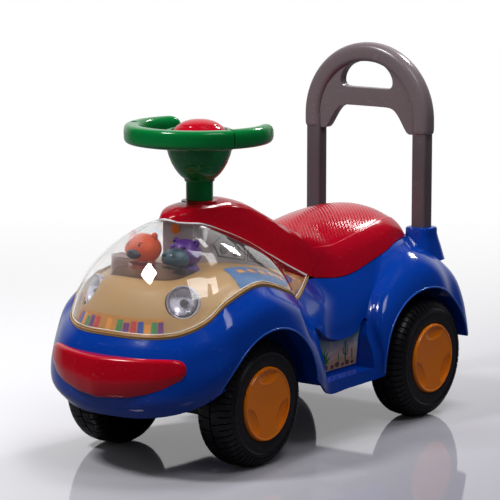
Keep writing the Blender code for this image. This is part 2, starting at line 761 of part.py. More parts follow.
def make_cowl():
    cowl = loft("steering_cowl", [section_points(h, lo, hi, y) for y, h, lo, hi in COWL], RED)
    hollow = []
    for y, half, low, high in COWL[2:]:
        y_in = min(y, SEAM_Y - GAP - WALL)
        ring = section_points(half, low, high, y_in, WALL)
        hollow.append([(p[0], p[1], p[2] - (0.02 if k in (0, len(ring) - 1) else 0.0)) for k, p in enumerate(ring)])
    cut(cowl, loft("cowl_hollow", hollow))
    pad = cylinder("column_pad", STEM_R + 0.004, (0, COLUMN_Y, 0.300), (0, COLUMN_Y, STEM_LOW - GAP), segments=28)
    join(cowl, pad)
    cut(cowl, cylinder("bush_hole", 0.008 + GAP, (0, COLUMN_Y, 0.28), (0, COLUMN_Y, 0.32), segments=20))
    for side_name, side in SIDES:
        x0, x1 = sorted((side * (HINGE_BARREL_HALF + GAP), side * (HINGE_BARREL_HALF + GAP + LUG_W)))
        outline = [(SEAM_Y - 0.006, HINGE_Z - 0.0040)]
        outline += [(HINGE_Y + 0.004 * math.sin(a), HINGE_Z - 0.004 * math.cos(a))
                    for a in [math.pi * k / 8 for k in range(9)]]
        outline.append((SEAM_Y - 0.006, HINGE_Z + 0.0040))
        join(cowl, flat_plate("hinge_lug_" + side_name, outline, x0, x1))
    cut(cowl, cylinder("cowl_pin_hole", HINGE_PIN_R + 0.0001, (-0.03, HINGE_Y, HINGE_Z), (0.03, HINGE_Y, HINGE_Z),
                       segments=16))
    cylinder("seat_hinge_pin", HINGE_PIN_R, (-0.0265, HINGE_Y, HINGE_Z), (0.0265, HINGE_Y, HINGE_Z), STEEL, 16)
    return cowl


def seat_sections(shrink):
    out = []
    for y, crown in SEAT_CROWN:
        half, low = opening_edge(y)
        if y > SEAT_ROUND_Y:
            half *= (1 - ((y - SEAT_ROUND_Y) / (SEAT_END - SEAT_ROUND_Y + 0.003)) ** 2.6) ** (1 / 2.6)
        out.append((y, half, low + SEAT_LIFT, crown))
    return out


def make_seat():
    rows = seat_sections(0.0)
    front = SEAM_Y + GAP
    slopes = [min(1.0, (y - SEAM_Y) / 0.045) for y, *_ in rows]
    outer = [section_points(h, lo, hi, max(y, front), 0.0, s) for (y, h, lo, hi), s in zip(rows, slopes)]
    seat = loft("seat", outer, RED)
    seat.location = (0, 0, 0)
    inner = []
    for (y, half, low, high), slope in zip(rows, slopes):
        y_in = min(max(y, front + WALL), SEAT_END - WALL)
        ring = section_points(half, low, high, y_in, WALL, slope)
        inner.append([(p[0], p[1], p[2] - (0.02 if k in (0, len(ring) - 1) else 0.0)) for k, p in enumerate(ring)])
    cut(seat, loft("seat_hollow", inner[:-1]))
    half = HINGE_BARREL_HALF
    join(seat, cylinder("hinge_barrel", HINGE_BARREL_R, (-half, HINGE_Y, HINGE_Z), (half, HINGE_Y, HINGE_Z),
                        segments=20))
    notch = HINGE_BARREL_HALF + LUG_W + 0.0015
    for side_name, side in SIDES:
        x0, x1 = sorted((side * HINGE_BARREL_HALF, side * notch))
        cut(seat, box("hinge_notch_" + side_name, (x0, SEAM_Y - 0.01, HINGE_Z - 0.006),
                      (x1, HINGE_Y + 0.0075, HINGE_Z + 0.02)))
    cut(seat, cylinder("seat_pin_hole", HINGE_PIN_R + RUN / 2, (-0.03, HINGE_Y, HINGE_Z), (0.03, HINGE_Y, HINGE_Z),
                       segments=16))
    return seat


def make_bin():
    """The storage bin under the seat, hung by its flange from the body's ledge."""
    box_out = box("storage_bin", (-BIN_HALF_X, BIN_FRONT, BIN_LOW), (BIN_HALF_X, BIN_REAR, BIN_TOP), BLACK)
    cut(box_out, box("bin_inside", (-BIN_HALF_X + BIN_T, BIN_FRONT + BIN_T, BIN_LOW + BIN_T),
                     (BIN_HALF_X - BIN_T, BIN_REAR - BIN_T, BIN_TOP + 0.01)))
    return box_out


def make_console():
    def ring(y, grow):
        share = (y - CONSOLE_FRONT) / (CONSOLE_REAR - CONSOLE_FRONT)
        half = CONSOLE_HALF_FRONT + (CONSOLE_HALF_REAR - CONSOLE_HALF_FRONT) * share - grow
        low = float(np.interp(y, [p[1] for p in DECK_INNER[3:]], [p[2] for p in DECK_INNER[3:]])) - 0.003
        top = at(COWL, y)[1] - 0.0008
        return [(half, y, low - grow * 4), (half, y, top + grow * 4), (-half, y, top + grow * 4),
                (-half, y, low - grow * 4)]
    ys = [CONSOLE_FRONT, -0.125, -0.09, -0.05, -0.02, CONSOLE_REAR]
    console = loft("console", [ring(y, 0.0) for y in ys], CONSOLE_GREY)
    inner = [CONSOLE_FRONT + CONSOLE_T] + ys[1:-1] + [CONSOLE_REAR - CONSOLE_T]
    return cut(console, loft("console_inside", [ring(y, CONSOLE_T) for y in inner]), deck_room("console_clearance"))


def make_windscreen():
    """A low smoked band round the front of the cockpit."""
    outline = [(-.0455, -.203), (-.0435, -.2105), (-.037, -.2170), (-.023, -.2215), (0, -.2240), (.023, -.2215),
               (.037, -.2170), (.0435, -.2105), (.0455, -.203)]
    path = spline([(x, y, 0) for x, y in outline], 2)
    sections = []
    for k, p in enumerate(path):
        before, after = path[max(k - 1, 0)], path[min(k + 1, len(path) - 1)]
        t = (after - before) / np.linalg.norm(after - before)
        n = np.array([t[1], -t[0], 0]) * SCREEN_T / 2
        low = PLATEAU_Z - 0.010
        high = PLATEAU_Z + SCREEN_H
        lean = np.array([0, 0.004, 0])
        sections.append([(*(p + n)[:2], low), (*(p - n)[:2], low), (*(p - n + lean)[:2], high),
                         (*(p + n + lean)[:2], high)])
    return cut(loft("windscreen", sections, SMOKE), deck_room("windscreen_clearance"))


def make_figures():
    """Two plain animal heads on shoulders that ride in the cockpit."""
    base = PLATEAU_Z - 0.004
    for side_name, side, fur, snout in (("right", -1, FUR, BLACK), ("left", 1, PURPLE, TEAL)):
        kind = "bear" if side < 0 else "hippo"
        x = side * FIGURE_X
        head_z = PLATEAU_Z + 0.0247
        head = ball(kind + "_head", (x, FIGURE_Y, head_z), (HEAD_R, HEAD_R * 0.92, HEAD_R * 0.86), fur)
        body = cylinder(kind + "_shoulders", HEAD_R * 0.92, (x, FIGURE_Y + 0.002, base),
                        (x, FIGURE_Y + 0.002, head_z - 0.004), segments=16, radius_end=HEAD_R * 0.6)
        join(head, body)
        for ear_name, ear in SIDES:
            reach = 0.66 if kind == "bear" else 0.56
            join(head, ball(f"{kind}_ear_{ear_name}", (x + ear * HEAD_R * reach, FIGURE_Y + 0.003, head_z + HEAD_R * 0.66),
                            (0.0052, 0.0036, 0.0052), segments=8, rings=6))
        wide = (0.0100, 0.0085, 0.0080) if kind == "bear" else (0.0150, 0.0120, 0.0120)
        muzzle = ball(kind + "_muzzle", (x, FIGURE_Y - HEAD_R * 0.80, head_z - 0.0055), wide, snout, 12, 8)
        grown = ball(kind + "_head_clearance", (x, FIGURE_Y, head_z),
                     (HEAD_R + 2 * GAP, HEAD_R * 0.92 + 2 * GAP, HEAD_R * 0.86 + 2 * GAP))
        cut(muzzle, grown, cylinder(kind + "_shoulder_clearance", HEAD_R * 0.92 + 2 * GAP,
                                    (x, FIGURE_Y + 0.002, base - 0.001), (x, FIGURE_Y + 0.002, head_z - 0.004),
                                    segments=16, radius_end=HEAD_R * 0.6 + 2 * GAP))
        cut(head, deck_room(kind + "_deck_clearance"))


def make_steering_wheel():
    centre = (0, COLUMN_Y)
    hub = turned("steering_wheel",
                 [(0.0345, 0.3935), (BOWL_R + 0.0015, 0.3920), (BOWL_R + 0.002, BOWL_HIGH), (BOWL_R, BOWL_HIGH - 0.003),
                  (0.0365, 0.360), (0.0300, 0.346), (0.0215, 0.336), (0.0185, BOWL_LOW), (STEM_R, BOWL_LOW),
                  (STEM_R, STEM_LOW), (COLUMN_R + GAP, STEM_LOW), (COLUMN_R + GAP, HUB_FLOOR),
                  (0.024, HUB_FLOOR), (HUB_CAVITY_R, 0.366), (HUB_CAVITY_R, 0.3860), (0.0345, 0.3860)],
                 GREEN, (0, COLUMN_Y, 0), steps=26, closed=True)
    rim_outline = [(RIM_R + r, RIM_Z + z) for r, z in oval(RIM_HALF_W, RIM_HALF_H, 12, 2.4)]
    join(hub, spun("rim_bar", rim_outline, centre, -GRIP_START, GRIP_START, 16))
    plate = [(0.036, RIM_Z - 0.0075), (RIM_R, RIM_Z - 0.0075), (RIM_R, RIM_Z - 0.0075 + PLATE_T),
             (0.036, RIM_Z - 0.0075 + PLATE_T)]
    join(hub, spun("web_plate", plate, centre, -PLATE_HALF, PLATE_HALF, 16))
    spigot = [(RIM_R + r, RIM_Z + z) for r, z in oval(SPIGOT_R, SPIGOT_R, 10)]
    bore = [(RIM_R + r, RIM_Z + z) for r, z in oval(SPIGOT_R + GAP, SPIGOT_R + GAP, 10)]
    grip_outline = [(RIM_R + r, RIM_Z + z) for r, z in oval(GRIP_HALF_W, GRIP_HALF_H, 12, 2.4)]
    turn = GAP / RIM_R
    cut(hub, cylinder("column_screw_hole", SCREW_R + GAP, (COLUMN_R, COLUMN_Y, SCREW_Z),
                      (0.02, COLUMN_Y, SCREW_Z), segments=12))
    cylinder("column_screw", SCREW_R, (COLUMN_R + GAP, COLUMN_Y, SCREW_Z), (STEM_R - 0.003, COLUMN_Y, SCREW_Z),
             STEEL, 12)
    for side_name, side in SIDES:
        join(hub, spun("spigot_" + side_name, spigot, centre, side * (GRIP_START - 0.05),
                       side * (GRIP_START + SPIGOT_L), 4))
        grip = spun("grip_" + side_name, grip_outline, centre, side * (GRIP_START + turn), side * GRIP_END, 8, GREEN)
        cut(grip, spun("grip_bore_" + side_name, bore, centre, side * (GRIP_START - 0.02),
                       side * (GRIP_START + SPIGOT_L + turn), 4))
    return hub


def make_horn():
    turned("horn_button",
           [(0, BUTTON_TOP), (0.012, BUTTON_TOP - 0.0011), (0.023, BUTTON_TOP - 0.0044), (0.030, BUTTON_TOP - 0.0090),
            (BUTTON_R, BUTTON_LOW + 0.0015), (BUTTON_R, BUTTON_LOW), (BUTTON_SKIRT_R, BUTTON_LOW),
            (BUTTON_SKIRT_R, BUTTON_SKIRT_LOW), (BUTTON_SKIRT_R - 0.0025, BUTTON_SKIRT_LOW),
            (BUTTON_SKIRT_R - 0.0025, BUTTON_LOW + 0.001), (0.022, BUTTON_TOP - 0.0075), (0, BUTTON_TOP - 0.0035)],
           RED, (0, COLUMN_Y, 0), steps=24)
    turned("sound_module", [(0, HUB_FLOOR + GAP + MODULE_H), (MODULE_R - 0.002, HUB_FLOOR + GAP + MODULE_H),
                            (MODULE_R - 0.001, HUB_FLOOR + GAP + MODULE_H - 0.001), (MODULE_R - 0.001, HUB_FLOOR + GAP),
                            (0, HUB_FLOOR + GAP)], BLACK, (0, COLUMN_Y, 0), steps=24)
    low = HUB_FLOOR + GAP * 2 + MODULE_H + SPRING_WIRE_R
    high = BUTTON_TOP - 0.0035 - GAP - SPRING_WIRE_R - 0.0012
    per_turn = 8
    count = SPRING_TURNS * per_turn
    curve = bpy.data.curves.new("horn_spring", "CURVE")
    curve.dimensions = "3D"
    curve.bevel_depth = SPRING_WIRE_R
    curve.bevel_resolution = 1
    curve.use_fill_caps = True
    line = curve.splines.new("POLY")
    line.points.add(count)
    for k in range(count + 1):
        a = 2 * math.pi * k / per_turn
        z = low + (high - low) * k / count
        line.points[k].co = (SPRING_R * math.cos(a), COLUMN_Y + SPRING_R * math.sin(a), z, 1)
    add_object("horn_spring", curve, STEEL)


def make_steering_gear():
    """Column with its crank, tie rod, knuckles on kingpins and the beam that carries them."""
    crank_low = ARM_Z + ARM_T + GAP + TIE_T + GAP
    crank_top = crank_low + CRANK_T
    column = cylinder("steering_column", COLUMN_R, (0, COLUMN_Y, crank_low), (0, COLUMN_Y, HUB_FLOOR), STEEL, 16,
                      origin=(0, COLUMN_Y, 0))
    crank = [(x, COLUMN_Y + y) for x, y in
             [(-0.006, -0.006), (0.006, -0.006), (0.006, ARM + 0.006), (-0.006, ARM + 0.006)]]
    join(column, flat_plate("crank_arm", crank, crank_low, crank_top, "Z"))
    join(column, cylinder("crank_pin", PIN_R, (0, COLUMN_Y + ARM, crank_low - TIE_T - 0.003),
                          (0, COLUMN_Y + ARM, crank_low + 0.001), segments=12))
    turned("column_bush",
           [(COLUMN_R + RUN, STEM_LOW - 2 * GAP), (0.008, STEM_LOW - 2 * GAP), (0.008, 0.298), (COLUMN_R + RUN, 0.298)],
           BLACK, (0, COLUMN_Y, 0), steps=16, closed=True)

    arm_y = FRONT_Y + ARM
    tie_low = ARM_Z + ARM_T + GAP
    tie = flat_plate("tie_rod", [(-KINGPIN_X - 0.008, arm_y - 0.006), (KINGPIN_X + 0.008, arm_y - 0.006),
                                 (KINGPIN_X + 0.008, arm_y + 0.006), (0.011, arm_y + 0.006),
                                 (0.011, COLUMN_Y + ARM + 0.009), (-0.011, COLUMN_Y + ARM + 0.009),
                                 (-0.011, arm_y + 0.006), (-KINGPIN_X - 0.008, arm_y + 0.006)],
                     tie_low, tie_low + TIE_T, "Z", BLACK)
    for name, x, y in (("left", KINGPIN_X, arm_y), ("right", -KINGPIN_X, arm_y), ("crank", 0, COLUMN_Y + ARM)):
        cut(tie, cylinder("tie_hole_" + name, PIN_R + RUN, (x, y, tie_low - 0.002), (x, y, tie_low + TIE_T + 0.002),
                          segments=16))

    low, high = WHEEL_R - BARREL_HALF, WHEEL_R + BARREL_HALF
    beam = box("front_axle_beam", (-KINGPIN_X, FRONT_Y - BEAM_HALF_Y, low - GAP - YOKE_T),
               (KINGPIN_X, FRONT_Y + BEAM_HALF_Y, low - GAP), BLACK)
    join(beam, box("beam_top", (-KINGPIN_X, FRONT_Y - BEAM_HALF_Y, high + GAP),
                   (KINGPIN_X, FRONT_Y + BEAM_HALF_Y, high + GAP + YOKE_T)),
         box("beam_middle", (-0.044, FRONT_Y - BEAM_HALF_Y, low - GAP - 0.002),
             (0.044, FRONT_Y + BEAM_HALF_Y, high + GAP + 0.002)),
         box("beam_tower", (-0.030, FRONT_Y - BEAM_HALF_Y, high), (0.030, FRONT_Y, WHEEL_R + TUNNEL_R - 0.0012)))
    for side_name, side in SIDES:
        x = side * KINGPIN_X
        for part, z0 in (("low", low - GAP - YOKE_T), ("high", high + GAP)):
            join(beam, cylinder(f"yoke_{part}_{side_name}", BEAM_HALF_Y, (x, FRONT_Y, z0), (x, FRONT_Y, z0 + YOKE_T),
                                segments=20))
        cut(beam, cylinder("kingpin_hole_" + side_name, KINGPIN_R + RUN / 2, (x, FRONT_Y, 0.03), (x, FRONT_Y, 0.13),
                           segments=16))
        knuckle = cylinder("knuckle_" + side_name, BARREL_R, (x, FRONT_Y, low), (x, FRONT_Y, high), BLACK, 20,
                           origin=(x, FRONT_Y, WHEEL_R))
        boss_end = x + side * 0.0125
        join(knuckle, cylinder("boss_" + side_name, 0.0095, (x, FRONT_Y, WHEEL_R), (boss_end, FRONT_Y, WHEEL_R)))
        join(knuckle, box("arm_" + side_name, (x - 0.0055, FRONT_Y + BARREL_R * 0.5, high - 0.006),
                          (x + 0.0055, arm_y + 0.006, high - GAP)))
        riser = box("arm_riser_" + side_name, (x - 0.0055, FRONT_Y + BEAM_HALF_Y + 0.003, high - 0.003),
                    (x + 0.0055, arm_y + 0.006, ARM_Z + ARM_T))
        join(knuckle, riser)
        join(knuckle, cylinder("arm_pin_" + side_name, PIN_R, (x, arm_y, ARM_Z + 0.001),
                               (x, arm_y, ARM_Z + ARM_T + TIE_T + 0.002), segments=12))
        cut(knuckle, cylinder("king_bore_" + side_name, KINGPIN_R + RUN / 2, (x, FRONT_Y, low - 0.01),
                              (x, FRONT_Y, high + 0.01), segments=16),
            cylinder("stub_bore_" + side_name, AXLE_R + GAP, (x + side * (KINGPIN_R + 0.0006), FRONT_Y, WHEEL_R),
                     (x + side * 0.03, FRONT_Y, WHEEL_R), segments=16))
        cylinder("kingpin_" + side_name, KINGPIN_R, (x, FRONT_Y, low - GAP - YOKE_T),
                 (x, FRONT_Y, high + GAP + YOKE_T), STEEL, 16)
        cylinder("stub_axle_" + side_name, AXLE_R, (x + side * (KINGPIN_R + 0.001), FRONT_Y, WHEEL_R),
                 (side * (FRONT_TRACK_OUT - CAP_SEAT + NUT_T), FRONT_Y, WHEEL_R), STEEL, 16)


def make_wheel(name, side, y, outer):
    """A blow-moulded wheel with its hub cap, turned about X with its outer face at +Z of the profile."""
    turn = (0, math.radians(90) * side, 0)
    place = (side * (outer - TYRE_W), y, WHEEL_R)
    r, w = WHEEL_R, TYRE_W
    turned("wheel_" + name,
           [(CAP_R + GAP, w), (r - 0.016, w), (r - 0.008, w - 0.0015), (r - 0.002, w - 0.007), (r, w - 0.013),
            (r, 0.013), (r - 0.002, 0.007), (r - 0.008, 0.0015), (r - TYRE_WALL - 0.008, 0.0),
            (r - TYRE_WALL - 0.008, w - CAP_SEAT - TYRE_WEB), (HUB_R, w - CAP_SEAT - TYRE_WEB), (HUB_R, 0.001),
            (BORE_R, 0.001), (BORE_R, w - CAP_SEAT), (CAP_R + GAP, w - CAP_SEAT)],
           BLACK, place, turn, steps=24, closed=True)
    turned("hub_cap_" + name,
           [(0, w + CAP_PROUD - 0.0025), (0.020, w + CAP_PROUD - 0.0012), (0.036, w + CAP_PROUD),
            (CAP_R - 0.002, w + CAP_PROUD - 0.0012), (CAP_R, w + CAP_PROUD - 0.004), (CAP_R, w - CAP_SEAT + GAP),
            (NUT_R + 0.004, w - CAP_SEAT + GAP), (NUT_R + 0.003, w - CAP_PROUD + 0.001), (0, w - CAP_PROUD + 0.001)],
           ORANGE, place, turn, steps=24)
    turned("axle_nut_" + name,
           [(AXLE_R + GAP, w - CAP_SEAT + GAP + NUT_T), (NUT_R - 0.001, w - CAP_SEAT + GAP + NUT_T),
            (NUT_R, w - CAP_SEAT + GAP + NUT_T - 0.001), (NUT_R, w - CAP_SEAT + GAP), (AXLE_R + GAP, w - CAP_SEAT + GAP)],
           STEEL, place, turn, steps=16, closed=True)


def make_rear_axle():
    half = REAR_TRACK_OUT - CAP_SEAT + NUT_T
    cylinder("rear_axle", AXLE_R, (-half, REAR_Y, WHEEL_R), (half, REAR_Y, WHEEL_R), STEEL, 16)
    for side_name, side in SIDES:
        turned("rear_axle_bush_" + side_name,
               [(AXLE_R + RUN / 2, REAR_WELL_X + 0.0035), (0.012, REAR_WELL_X + 0.0035), (0.012, REAR_WELL_X + GAP),
                (AXLE_R + WALL - GAP, REAR_WELL_X + GAP), (AXLE_R + WALL - GAP, REAR_WELL_X - 0.008),
                (AXLE_R + RUN / 2, REAR_WELL_X - 0.008)], BLACK, (0, REAR_Y, WHEEL_R),
               (0, math.radians(90) * side, 0), steps=16, closed=True)


def make_handle():
    radius = ARCH_OUTER
    centre_z = HANDLE_TOP - radius

    def arc(r, start, end, count):
        return [(r * math.cos(start + (end - start) * k / count), centre_z + r * math.sin(start + (end - start) * k / count))
                for k in range(count + 1)]

    inner_x = HANDLE_X - LEG_HALF_X - 0.001
    band = arc(radius, 0, math.pi, 18) + [(-radius, SLEEVE_LOW), (-(radius - ARCH_BAND), SLEEVE_LOW)]
    band += arc(radius - ARCH_BAND, math.pi, 0, 18) + [(radius - ARCH_BAND, SLEEVE_LOW), (radius, SLEEVE_LOW)]
    arch = flat_plate("push_handle", band, HANDLE_Y - ARCH_HALF_Y, HANDLE_Y + ARCH_HALF_Y, "Y", GREY)
    web_r = radius - ARCH_BAND * 0.5
    drops = [(inner_x, .117), (.066, .117), (.060, .112), (.048, .093), (.040, .086), (.032, .084)]
    web = [(-x, HANDLE_TOP - drop) for x, drop in drops]
    web += [(x, HANDLE_TOP - drop) for x, drop in reversed(drops)]
    web += arc(web_r, 0, math.pi, 18)
    join(arch, flat_plate("handle_web", web, HANDLE_Y - WEB_HALF_Y, HANDLE_Y + WEB_HALF_Y, "Y"))
    hole = [(x, HANDLE_TOP - drop) for x, drop in [(.033, .0595), (.0385, .0575), (.0410, .0525), (.0400, .0455)]]
    hole += [(0.0390 * math.cos(a), HANDLE_TOP - 0.0440 + 0.0190 * math.sin(a))
             for a in [math.pi * k / 12 for k in range(1, 12)]]
    hole += [(-x, z) for x, z in reversed(hole[:4])]
    cut(arch, flat_plate("finger_hole", hole, HANDLE_Y - 0.03, HANDLE_Y + 0.03, "Y"))
    for side_name, side in SIDES:
        outline = oval(LEG_HALF_X, LEG_HALF_Y, 16, 5.0, (side * HANDLE_X, HANDLE_Y))
        grown = oval(LEG_HALF_X + GAP, LEG_HALF_Y + GAP, 16, 5.0, (side * HANDLE_X, HANDLE_Y))
        bore = oval(LEG_HALF_X - LEG_WALL, LEG_HALF_Y - LEG_WALL, 12, 5.0, (side * HANDLE_X, HANDLE_Y))
        cut(flat_plate("handle_leg_" + side_name, outline, LEG_LOW, LEG_HIGH, "Z", GREY),
            flat_plate("leg_inside_" + side_name, bore, LEG_LOW - 0.01, LEG_HIGH + 0.01, "Z"))
        cut(arch, flat_plate("arch_bore_" + side_name, grown, 0.30, LEG_HIGH + GAP, "Z"))
    bevel(arch, 0.006, 1, 60)
    return arch


def make_stickers():
    for side_name, side in SIDES:
        x0, x1 = sorted((side * (RECESS_X + 0.0001), side * (RECESS_X + 0.0001 + STICKER_T)))
        outline = [(-.018, BOARD_TOP + .0035), (.0822, BOARD_TOP + .0035), (.0850, .102), (.0875, .121),
                   (.0935, .1335), (.0900, .1375), (.0820, .1315), (.066, .1255), (.046, .1225), (.010, .1275),
                   (-.018, .1400)]
        flat_plate("side_sticker_" + side_name, outline, x0, x1, "X", LABEL)


make_body()
make_bumper()
make_deck()
make_lamps()
make_dome()
make_cowl()
make_seat()
make_bin()
make_console()
make_windscreen()
make_figures()
make_steering_wheel()
make_horn()
make_steering_gear()
make_rear_axle()
for wheel_name, wheel_side, wheel_y, wheel_out in (
        ("front_left", 1, FRONT_Y, FRONT_TRACK_OUT), ("front_right", -1, FRONT_Y, FRONT_TRACK_OUT),
        ("rear_left", 1, REAR_Y, REAR_TRACK_OUT), ("rear_right", -1, REAR_Y, REAR_TRACK_OUT)):
    make_wheel(wheel_name, wheel_side, wheel_y, wheel_out)
make_handle()
make_stickers()
bpy.context.view_layer.update()
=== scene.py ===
"""The finished look of the kids ride-on car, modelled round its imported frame.

Units are metres, +X is the car's left side, -Y is its front and +Z is up.
"""

import math

import bmesh
import bpy
import numpy as np
from mathutils import Matrix, Vector


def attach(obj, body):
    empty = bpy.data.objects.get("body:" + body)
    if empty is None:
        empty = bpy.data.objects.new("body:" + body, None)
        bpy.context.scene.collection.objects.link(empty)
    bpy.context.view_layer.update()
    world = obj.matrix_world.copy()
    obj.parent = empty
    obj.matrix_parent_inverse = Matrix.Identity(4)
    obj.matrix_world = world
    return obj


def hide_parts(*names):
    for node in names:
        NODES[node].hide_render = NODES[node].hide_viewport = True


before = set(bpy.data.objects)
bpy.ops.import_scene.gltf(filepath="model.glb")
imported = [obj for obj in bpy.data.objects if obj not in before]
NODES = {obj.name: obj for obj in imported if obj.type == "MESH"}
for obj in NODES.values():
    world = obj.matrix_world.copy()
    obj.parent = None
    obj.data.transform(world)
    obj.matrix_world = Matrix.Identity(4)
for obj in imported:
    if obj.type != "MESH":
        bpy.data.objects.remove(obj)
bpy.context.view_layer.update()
SIDES = (("left", 1), ("right", -1))

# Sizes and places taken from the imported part
WHEEL_R = 0.0775
TYRE_W = 0.053
FRONT_Y = -0.139
REAR_Y = 0.204
FRONT_OUT = 0.1275
REAR_OUT = 0.1404
ARCH_R = 0.0920
TUNNEL_R = 0.100
ARCH_LIP_X = 0.118
REAR_WELL_X = 0.080
REAR_ARCH_R = 0.0955
REAR_ARCH_Y = REAR_Y - 0.0105
REAR_ARCH_Z = WHEEL_R - 0.002
COLUMN_Y = -0.1035
RIM_R = 0.0815
RIM_Z = 0.390
SEAM_Y = 0.047
SEAT_END = 0.253
SEAT_ROUND_Y = 0.233
HANDLE_X = 0.084
HANDLE_Y = 0.2625
HANDLE_TOP = 0.474
ARCH_OUTER = 0.0985
ARCH_BAND = 0.0255
SLEEVE_LOW = 0.358
LEG_LOW = 0.168
LEG_HIGH = 0.375
BOARD_TOP = 0.083
RECESS_X = 0.1035
WALL = 0.003


def mm(*points):
    """Points written in millimetres."""
    return [tuple(round(v / 1000, 7) for v in p) for p in points]


# Outer skin of the body, left half, from the nose round to the tail, from the lip up to the opening
BODY_RIBS = [
    mm((0, -284, 74), (0, -293.5, 88), (0, -295, 112), (0, -291, 135), (0, -284, 153), (0, -275, 166)),
    mm((50, -277, 75), (51.5, -288, 90), (51.5, -289, 113), (51, -285, 136), (50, -278, 153), (49, -269, 166)),
    mm((88, -259, 82), (92.5, -270, 96), (92.5, -270, 117), (91.5, -265, 138), (89.5, -258, 156), (83, -250, 170)),
    mm((116, -237, 96), (120, -241, 109), (121, -240, 125), (119.5, -234, 145), (115, -228, 166), (103, -222, 183)),
    mm((136, -200, 120), (138.5, -202, 131), (139, -203, 143),
       (136, -202, 160), (129, -199, 183), (112, -193, 203.5)),
    mm((140, -139, 120), (142, -139, 138), (143, -139, 155), (141.5, -139, 175),
       (134.5, -137, 198), (114, -133, 216.5)),
    mm((141, -88, 110), (143, -87, 126), (142.5, -86, 143), (138.5, -82, 162), (130, -76, 183), (112, -68, 197)),
    mm((137.5, -43, 87), (138.5, -45, 106), (135.5, -46, 130), (129, -47, 151), (119, -48, 170), (104.5, -45, 184)),
    mm((132, -15, 68), (130, -12, 100), (120.5, -8, 128), (113.5, -2, 150), (101, 4, 173), (81.5, 6.5, 193.5)),
    mm((131.5, 25, 68), (126.5, 28, 100), (114.5, 32, 126), (108, 36, 148), (93.5, 38, 171), (62.5, 40, 196)),
    mm((131, 60, 68), (125.5, 64, 100), (112.5, 70, 127), (106.5, 75, 150), (96.5, 81, 170), (80, 88, 194)),
    mm((132.5, 83, 69), (126.5, 86, 100), (111, 92, 132), (104.5, 104, 158), (97.5, 122, 179), (84.5, 135, 204)),
    mm((136, 95, 71), (133, 97, 101), (115, 101, 139), (106.5, 119, 167), (99, 145, 189), (84.5, 160, 210)),
    mm((140, 110, 73), (140, 111, 110), (134, 117, 146), (122.5, 136, 178), (108, 163, 199.5), (84.5, 183, 216.5)),
    mm((143, 204, 78), (144.5, 204, 125), (143.5, 204, 163), (134, 204, 192), (113, 204, 210.5), (82, 206, 224)),
    mm((143, 255, 85), (144, 255, 115), (140, 254, 148), (131, 253, 178), (112, 250, 201), (75, 238, 226)),
    mm((139, 294, 95), (137, 292, 116), (133, 288, 144), (125, 280, 172), (107, 268, 195), (66, 247.5, 228)),
    mm((105, 305, 95), (103, 303.5, 117), (100, 299.5, 145), (95, 291.5, 173), (84, 279, 198), (45, 253.5, 231)),
    mm((0, 307.5, 95), (0, 306.5, 118), (0, 302.5, 147), (0, 295, 177), (0, 283, 204), (0, 257, 233)),
]
COCKPIT_RIBS = 9
DECK_INNER = mm(
    (0, -217.5, 229), (22, -215.5, 229), (38, -208, 229), (43.5, -190, 231), (45, -165, 234), (45, -125, 236),
    (45, -75, 229), (47, -30, 219), (49.5, 6, 209), (51, 34.5, 198.5))
DECK_RISE = [(0.0, 0.0), (0.13, 0.03), (0.30, 0.42), (0.55, 0.78), (0.78, 0.94), (1.0, 1.0)]
COWL = mm(
    (-167.5, 6, 290, 293.5), (-162, 16.5, 289, 298.5), (-150, 25, 287.5, 303.5), (-132, 30.5, 285, 306.5),
    (-103.5, 35.5, 273.5, 308), (-75, 40, 261, 308.5), (-45, 45, 246, 302), (-17.5, 49.5, 231, 290),
    (15, 56, 213, 272.5), (43.5, 62.8, 198.5, 256.2), (46.7, 62.2, 196.8, 252))
SEAT_CROWN = mm(
    (47, 252), (50.5, 254.8), (80, 261), (120, 266), (160, 268.5), (200, 268), (225, 265), (240, 259.5),
    (248.5, 252), (253, 243))
SECTION = [(1.0, 0.0), (0.94, 0.22), (0.865, 0.50), (0.765, 0.765), (0.62, 0.885), (0.36, 0.965), (0.0, 1.0)]
SEAT_SECTION = [(1.0, 0.0), (0.955, 0.17), (0.890, 0.36), (0.765, 0.56), (0.58, 0.75), (0.33, 0.925), (0.0, 1.0)]


# Curves and surfaces through given points

def spline(points, steps, mirror_ends=False):
    p = [np.array(q, float) for q in points]
    flip = np.array([-1.0, 1.0, 1.0])
    first = p[1] * flip if mirror_ends else 2 * p[0] - p[1]
    last = p[-2] * flip if mirror_ends else 2 * p[-1] - p[-2]
    ext = [first] + p + [last]
    out = []
    for i in range(len(p) - 1):
        a, b, c, d = ext[i:i + 4]
        for k in range(steps):
            t = k / steps
            out.append(0.5 * (2 * b + (c - a) * t + (2 * a - 5 * b + 4 * c - d) * t * t
                              + (3 * b - a - 3 * c + d) * t ** 3))
    out.append(p[-1])
    return out


def from_middle(points, steps):
    """A smooth line that starts square across the middle and ends freely."""
    a, b = np.array(points[-2], float), np.array(points[-1], float)
    return spline(list(points) + [tuple(2 * b - a)], steps, True)[:steps * (len(points) - 1) + 1]


def surface(ribs, u_steps, v_steps, mirror_ends=True):
    rails = [spline([rib[j] for rib in ribs], u_steps, mirror_ends) for j in range(len(ribs[0]))]
    return np.array([spline([rail[i] for rail in rails], v_steps) for i in range(len(rails[0]))])


def offset(grid, distance):
    """The surface moved outwards along its own normals; its first and last ribs lie on the centre line."""
    flip = np.array([-1.0, 1.0, 1.0])
    out = grid.copy()
    for i in range(len(grid)):
        before = grid[i - 1] if i else grid[1] * flip
        after = grid[i + 1] if i < len(grid) - 1 else grid[-2] * flip
        normal = np.cross(after - before, np.gradient(grid[i], axis=0))
        normal /= np.linalg.norm(normal, axis=1)[:, None]
        out[i] = grid[i] + normal * distance
    out[0][:, 0] = 0.0
    out[-1][:, 0] = 0.0
    return out


